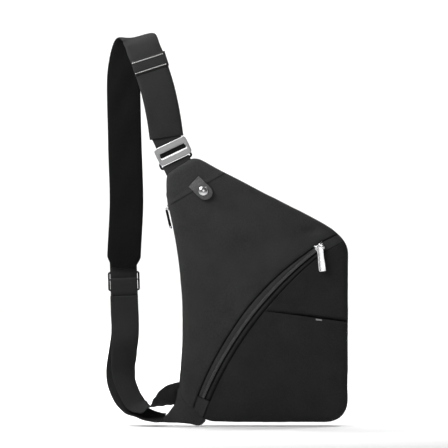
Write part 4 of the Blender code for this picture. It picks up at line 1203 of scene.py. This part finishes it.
def lift_at(a):
    """How far the tab stands off the panel, by distance from its root."""
    return -1.5 * smooth_step(min(1.0, max(0.0, a / 12.0)))


def snap_tab():
    """Leather tab with a rounded end, its snap cap and socket, and the stud below."""
    half = TAB_W / 2
    flat = TAB_L - half
    loop = [(i * flat / 8, -half) for i in range(9)]
    loop += [(flat + half * math.cos(a), half * math.sin(a))
             for a in (-math.pi / 2 + math.pi * i / 24 for i in range(1, 24))]
    loop = refine(loop + [(flat * (1 - i / 8), half) for i in range(9)], 0.8)
    centre = 10.0
    # rings from the middle of the back round the edge to the middle of the front
    prof = [(0.2, 0.55), (0.6, 0.55), (0.95, 0.55), (1.0, 0.3), (1.0, 0.0), (1.0, -0.25),
            (0.985, -0.5), (0.955, -0.66), (0.91, -0.72), (0.86, -0.66), (0.82, -0.6),
            (0.78, -0.64), (0.6, -0.72), (0.4, -0.75), (0.2, -0.75)]
    verts, uvs = [], []
    for scale, h in prof:
        for a, s in loop:
            aa, ss = centre + (a - centre) * scale, s * scale
            verts.append(Wv(tab_point(aa, ss, lift_at(aa) + h)))
            uvs.append((ss * MM, aa * MM))
    skin("snap_tab_leather", verts, ring_faces(0, len(prof), len(loop)), M_LEATHER, "snap_flap",
         uvs, ("snap_tab",))
    snap = ROOT + T_DIR * 17.6
    snap.y = 0.0
    turned("snap_cap_dome", snap, [(5.6, -13.95), (6.0, -14.1), (6.15, -14.4), (6.05, -14.75),
                                   (5.7, -15.05), (5.15, -15.15), (4.9, -15.12), (4.5, -15.35),
                                   (3.6, -15.72), (2.4, -16.0), (1.2, -16.14), (0.3, -16.18)],
           "snap_flap", "snap_cap")
    turned("snap_socket_ring", snap, [(2.5, -11.95), (2.7, -11.9), (4.9, -11.95), (5.2, -12.15),
                                      (5.2, -12.45), (5.0, -12.6), (2.8, -12.6), (2.5, -12.5)],
           "snap_flap", "snap_socket")
    turned("snap_stud_post", snap, [(5.2, -11.35), (5.2, -11.5), (4.8, -11.62), (2.2, -11.7),
                                    (1.75, -11.85), (1.9, -12.1), (1.8, -12.28), (1.2, -12.34),
                                    (0.3, -12.35)], "bag", "snap_stud")


snap_tab()


# ------------------------------------------------------ sliders and pulls ----


PULL_DIR = Vector((0.11, 0.0, -0.994)).normalized()
PULL_AX = Vector((0.994, 0.0, 0.11)).normalized()


def front_slider():
    """Slider body with its flanges, two ears and the pin between them."""
    mid, along, out = zip_frame(math.radians(127.05))
    half = 6.2

    def place(a, b, h):
        return mid + along * a + out * b + Y_AXIS * h

    top = []
    for i in range(40):
        th = 2 * math.pi * i / 40
        u = math.copysign(abs(math.cos(th)) ** 0.6, math.cos(th)) * half
        v = math.copysign(abs(math.sin(th)) ** 0.6, math.sin(th))
        top.append((u, v * (4.9 - 0.9 * (u / half) - 0.5 * math.exp(-(u / 2.5) ** 2))))
    plate("slider_top_plate", top, place,
          [(0.5, -12.0), (0.1, -12.05), (0.0, -12.3), (0.05, -12.8), (0.4, -13.15), (1.2, -13.3),
           (2.6, -13.35)], "front_slider", "front_zip_slider")
    for s, name in ((1, "slider_flange_upper"), (-1, "slider_flange_lower")):
        pts = [place(5.6 * t, s * (4.6 - 0.9 * t - 0.4 * math.exp(-(t * 2.4) ** 2)), -12.0)
               for t in (-1 + i / 6 for i in range(13))]
        tube(name, pts, 0.75, M_NICKEL, "front_slider", 10,
             taper=lambda t: 0.75 + 0.25 * math.sin(math.pi * t))
    pin = mid + Y_AXIS * -14.6 - PULL_DIR * 0.4
    arch = ((-2.1, 1.6), (-1.7, 0.1), (-0.6, -0.5), (0.6, -0.35), (1.5, 0.5), (1.8, 1.6))
    for s, name in ((-3.3, "slider_ear_left"), (3.3, "slider_ear_right")):
        pts = [(pin + PULL_AX * s + PULL_DIR * a + Y_AXIS * y, (1, 0, 0)) for a, y in arch]
        tube(name, [c for c, _ in catmull(pts, 4)], 0.75, M_NICKEL, "front_slider", 10)
    tube("slider_pin", [pin - PULL_AX * 3.4, pin, pin + PULL_AX * 3.4], 0.7, M_NICKEL,
         "front_slider", 12)
    return pin


def front_pull(pin):
    """Waisted tongue with a raised rim, turning on the slider's pin."""
    length, thick, head, tip_r = 31.4, 1.6, 1.7, 2.2

    def half_width(d):
        t = (d + head) / (length + head)
        w = 4.8 * (1 - 0.13 * math.exp(-((t - 0.36) / 0.2) ** 2))
        if length - d < tip_r:
            w -= tip_r - math.sqrt(max(0.0, tip_r ** 2 - (tip_r - (length - d)) ** 2))
        if t < 0.14:
            w = 2.3 + (w - 2.3) * (max(0.0, t) / 0.14) ** 0.6
        return max(0.4, w)

    # rows across the solid tongue, from its head, which the pin runs through, to its tip
    stations = [-1.75, -1.6, -1.2, -0.95, 0.0, 0.95, 1.2, 1.6, 2.4, 3.4]
    stations += [5.0 + 2.0 * i for i in range(12)]
    stations += [28.4, 29.2, 29.8, 30.3, 30.7, 31.05, 31.3, length]
    front = [(1.0, 0.0), (0.985, -0.45), (0.93, -0.8), (0.84, -0.92), (0.72, -0.84), (0.35, -0.74)]
    back = [(0.985, 0.45), (0.9, 0.8), (0.45, 0.85)]
    cross = [(-a, b) for a, b in front] + [(0.0, -0.72)] + front[::-1]
    cross += back + [(0.0, 0.85)] + [(-a, b) for a, b in reversed(back)]
    verts = []
    for d in stations:
        end = min(1.0, max(0.25, (length - d) / 0.7))
        if d < -0.5:
            end = min(end, max(0.3, (d + 1.75) / 0.5))
        verts += [Wv(pin + PULL_DIR * d + PULL_AX * (a * half_width(d))
                     + Y_AXIS * (b * thick / 2 * end)) for a, b in cross]
    skin("zip_pull_tongue", verts, ring_faces(0, len(stations), len(cross)), M_NICKEL,
         "front_pull", None, ("front_zip_pull",))


front_pull(front_slider())


# ---------------------------------------------------------- side zip ----
S_Z, S_Y = 279.0, 6.0


def side_zip():
    """Zip in the slanted edge: tapes, coils, slider, and its pull with an eye and a tip."""
    def edge_frame(z):
        x = edge_x(z)
        out = Vector((EDGE_C[0] - x, 0.0, EDGE_C[1] - z)).normalized()
        return Vector((x, 0.0, z)), out, Vector((-out.z, 0.0, out.x))

    rows, low, high = 90, 65.5, 296.5
    prof = [(0.0, 0.0), (0.5, -0.1), (1.0, 0.0), (1.0, 0.55), (0.5, 0.5), (0.0, 0.55)]
    # the tapes take the darkened zip tape grey, painted shade
    for name, y0, y1, node in (("side_tape_front_cloth", 2.0, 5.35, "side_zip_tape_front"),
                               ("side_tape_back_cloth", 6.65, 10.0, "side_zip_tape_back")):
        verts, uvs = [], []
        for i in range(rows + 1):
            z = low + (high - low) * i / rows
            m, out, up = edge_frame(z)
            for s, h in prof:
                y = y0 + (y1 - y0) * s
                verts.append(Wv(m + Y_AXIS * y - out * (1.15 + h)))
                uvs.append((y * MM, z * MM))
        skin(name, verts, ring_faces(0, rows + 1, len(prof)), M_TAPE_SHADED, "bag", uvs, (node,))
    bend = [(-0.55, 0.2), (-0.5, -0.3), (0.0, -0.5), (0.5, -0.3), (0.55, 0.2)]
    count = 150
    for name, y, lag, node in (("side_coil_front", 5.45, 0.0, "side_zip_coil_front"),
                               ("side_coil_back", 6.55, 0.5, "side_zip_coil_back")):
        frames = [edge_frame(67.0 + 227.5 * (i + lag) / count) for i in range(count)]
        coil(name, [(m + Y_AXIS * y - out * 1.2, Y_AXIS, up, -out) for m, out, up in frames],
             bend, 0.55, 0.3, node)

    m, out, up = edge_frame(S_Z)
    mid = m + Y_AXIS * S_Y
    body = [(u, v * (1 - 0.14 * math.exp(-(u / 2.2) ** 2)))
            for u, v in round_rect(-4.5, 4.5, -3.7, 3.7, 2.2, 5)]
    plate("side_slider_plate", refine(body, 0.7),
          lambda a, b, h: mid + up * a + Y_AXIS * b + out * h,
          [(0.4, 0.6), (0.0, 0.8), (0.0, 1.2), (0.35, 1.5), (1.3, 1.65), (2.2, 1.7)],
          "side_slider", "side_zip_slider")
    pin = mid + out * 3.6 + up * 0.5
    arch = ((2.2, -2.3), (1.8, -0.8), (0.8, 0.25), (-0.6, 0.35), (-1.4, -0.7), (-1.6, -2.3))
    for s, name in ((-2.6, "side_slider_ear_front"), (2.6, "side_slider_ear_back")):
        pts = [(pin + Y_AXIS * s + up * a + out * h, (0, 1, 0)) for a, h in arch]
        tube(name, [c for c, _ in catmull(pts, 4)], 0.6, M_NICKEL, "side_slider", 10)
    tube("side_slider_pin", [pin - Y_AXIS * 2.7, pin, pin + Y_AXIS * 2.7], 0.55, M_NICKEL,
         "side_slider", 12)
    down = Vector((0.225, 0.0, -0.974)).normalized()
    away = Vector((-0.974, 0.0, -0.225)).normalized()
    eye = [pin + down * (1.1 * math.cos(a)) + away * (1.1 * math.sin(a))
           for a in (2 * math.pi * k / 28 for k in range(28))]
    tube("side_pull_eye_ring", eye, 0.38, M_NICKEL, "side_pull", 10, True, ("side_pull_eye",))
    tube("side_pull_cord", [pin + down * (1.5 + 22.9 * i / 24) for i in range(25)], 1.65, M_RUBBER,
         "side_pull", 16, False, ("side_zip_pull",),
         lambda t: (0.55 + 0.45 * min(1.0, t / 0.08)) * (1 + 0.03 * math.sin(t * 100)))

    def cap_taper(t):
        if t < 0.85:
            return 0.9 + 0.1 * math.sin(math.pi * min(1, t * 1.2))
        return 0.97 - 0.35 * (t - 0.85) / 0.15

    tube("side_pull_cap", [pin + down * (24.3 + 3.2 * i / 12) for i in range(13)], 1.9, M_NICKEL,
         "side_pull", 20, False, ("side_pull_tip",), cap_taper)


side_zip()


def pocket_tag():
    """Small tag sewn over the mouth of the slip pocket."""
    cx, cz = 79.0, 134.8
    loop = [(cx - 4, cz - 1.6), (cx + 4, cz - 2.6), (cx + 4, cz - 0.6), (cx - 4, cz + 0.4)]
    cloth_panel("pocket_tag_leather", refine(loop, 0.5), M_TAG, "bag",
                y_fn=lambda x, z: slip_y(x, z) - 0.85, thick=0.5, grid=1.0, rows=(0.1, 0.3),
                round_all=True, fold_w=0.1, fold_lift=0.0, replaces=("pocket_tag",))


pocket_tag()


# --------------------------------------------------- floor, light, camera ----
def studio_floor(low):
    """Pale floor that curves up into a backdrop."""
    m, nt, _, place = start("pale_floor")
    shader = nt.nodes["Principled BSDF"]
    ramp(nt, cloud(nt, place, 3.0, 2.0), [(0.0, (0.88,) * 3), (1.0, (0.9,) * 3)],
         shader.inputs["Base Color"])
    shader.inputs["Roughness"].default_value = 0.9
    half, reach, bend, top = 8.0, 5.0, 1.5, 4.0
    prof = [(-2.5, 0.0), (-1.0, 0.0), (0.0, 0.0), (1.2, 0.0), (3.0, 0.0), (reach, 0.0)]
    prof += [(reach + bend * math.sin(math.radians(a)), bend - bend * math.cos(math.radians(a)))
             for a in range(10, 91, 10)]
    prof += [(reach + bend, top)]
    me = D.meshes.new("floor")
    me.from_pydata([(x, y, low - 0.001 + z) for y, z in prof for x in (-half, half)], [],
                   [(2 * i, 2 * i + 1, 2 * i + 3, 2 * i + 2) for i in range(len(prof) - 1)])
    me.polygons.foreach_set("use_smooth", [True] * len(me.polygons))
    me.materials.append(m)
    floor = D.objects.new("floor", me)
    bpy.context.scene.collection.objects.link(floor)


def lamps(centre):
    """Soft boxes round the bag, a wash on the floor and two lamps on the backdrop."""
    # name, place and aim from the bag's centre (m), size (m), power (W)
    rows = [("key", (-0.38, -0.24, 0.40), (-0.06, 0.0, 0.04), (0.35, 0.35), 4.6),
            ("front_softbox", (0.0, -4.6, 0.1), (0.0, 0.0, 0.0), (1.1, 1.1), 8.5),
            ("top_rim", (0.45, -0.05, 0.75), (0.1, 0.0, 0.0), (0.3, 0.3), 1.8),
            ("floor_wash", (0.0, 0.9, 1.7), (0.0, 0.6, -0.3), (1.6, 0.8), 15.0),
            ("backdrop_left", (-1.5, 0.9, 2.2), (-0.3, 5.2, 0.2), (1.0, 1.0), 190.0),
            ("backdrop_right", (1.5, 0.9, 2.2), (0.3, 5.2, 0.2), (1.0, 1.0), 190.0)]
    for name, place, aim, size, power in rows:
        lamp = D.lights.new(name, "AREA")
        lamp.shape = "RECTANGLE"
        lamp.size, lamp.size_y = size
        lamp.energy = power
        ob = D.objects.new(name, lamp)
        ob.location = centre + Vector(place)
        ob.rotation_euler = (Vector(aim) - Vector(place)).to_track_quat("-Z", "Y").to_euler()
        bpy.context.scene.collection.objects.link(ob)


def stage_and_camera():
    """Floor, lamps, a dim world and a long lens straight in front of the bag."""
    sc = bpy.context.scene
    studio_floor(CAD_BOX[0][2])
    world = D.worlds.new("studio")
    sc.world = world
    world.use_nodes = True
    bg = world.node_tree.nodes["Background"]
    bg.inputs["Color"].default_value = (1, 1, 1, 1)
    bg.inputs["Strength"].default_value = 0.05
    centre = W(-43.1, 0.0, 257.0)
    lamps(centre)

    seen_width, lens, sensor = 0.5770, 250.0, 36.0
    cam = D.cameras.new("camera")
    cam.lens = lens
    cam.sensor_width = sensor
    cam.clip_start = 0.05
    cam.clip_end = 100.0
    ob = D.objects.new("camera", cam)
    ob.location = (centre.x, W(0.0, FRONT_Y, 0.0).y - seen_width * lens / sensor, centre.z)
    ob.rotation_euler = (math.radians(90.0), 0.0, 0.0)
    sc.collection.objects.link(ob)
    sc.camera = ob
    sc.view_settings.view_transform = "Standard"
    sc.view_settings.look = "None"
    sc.view_settings.exposure = 0.0
    sc.view_settings.gamma = 1.0


stage_and_camera()
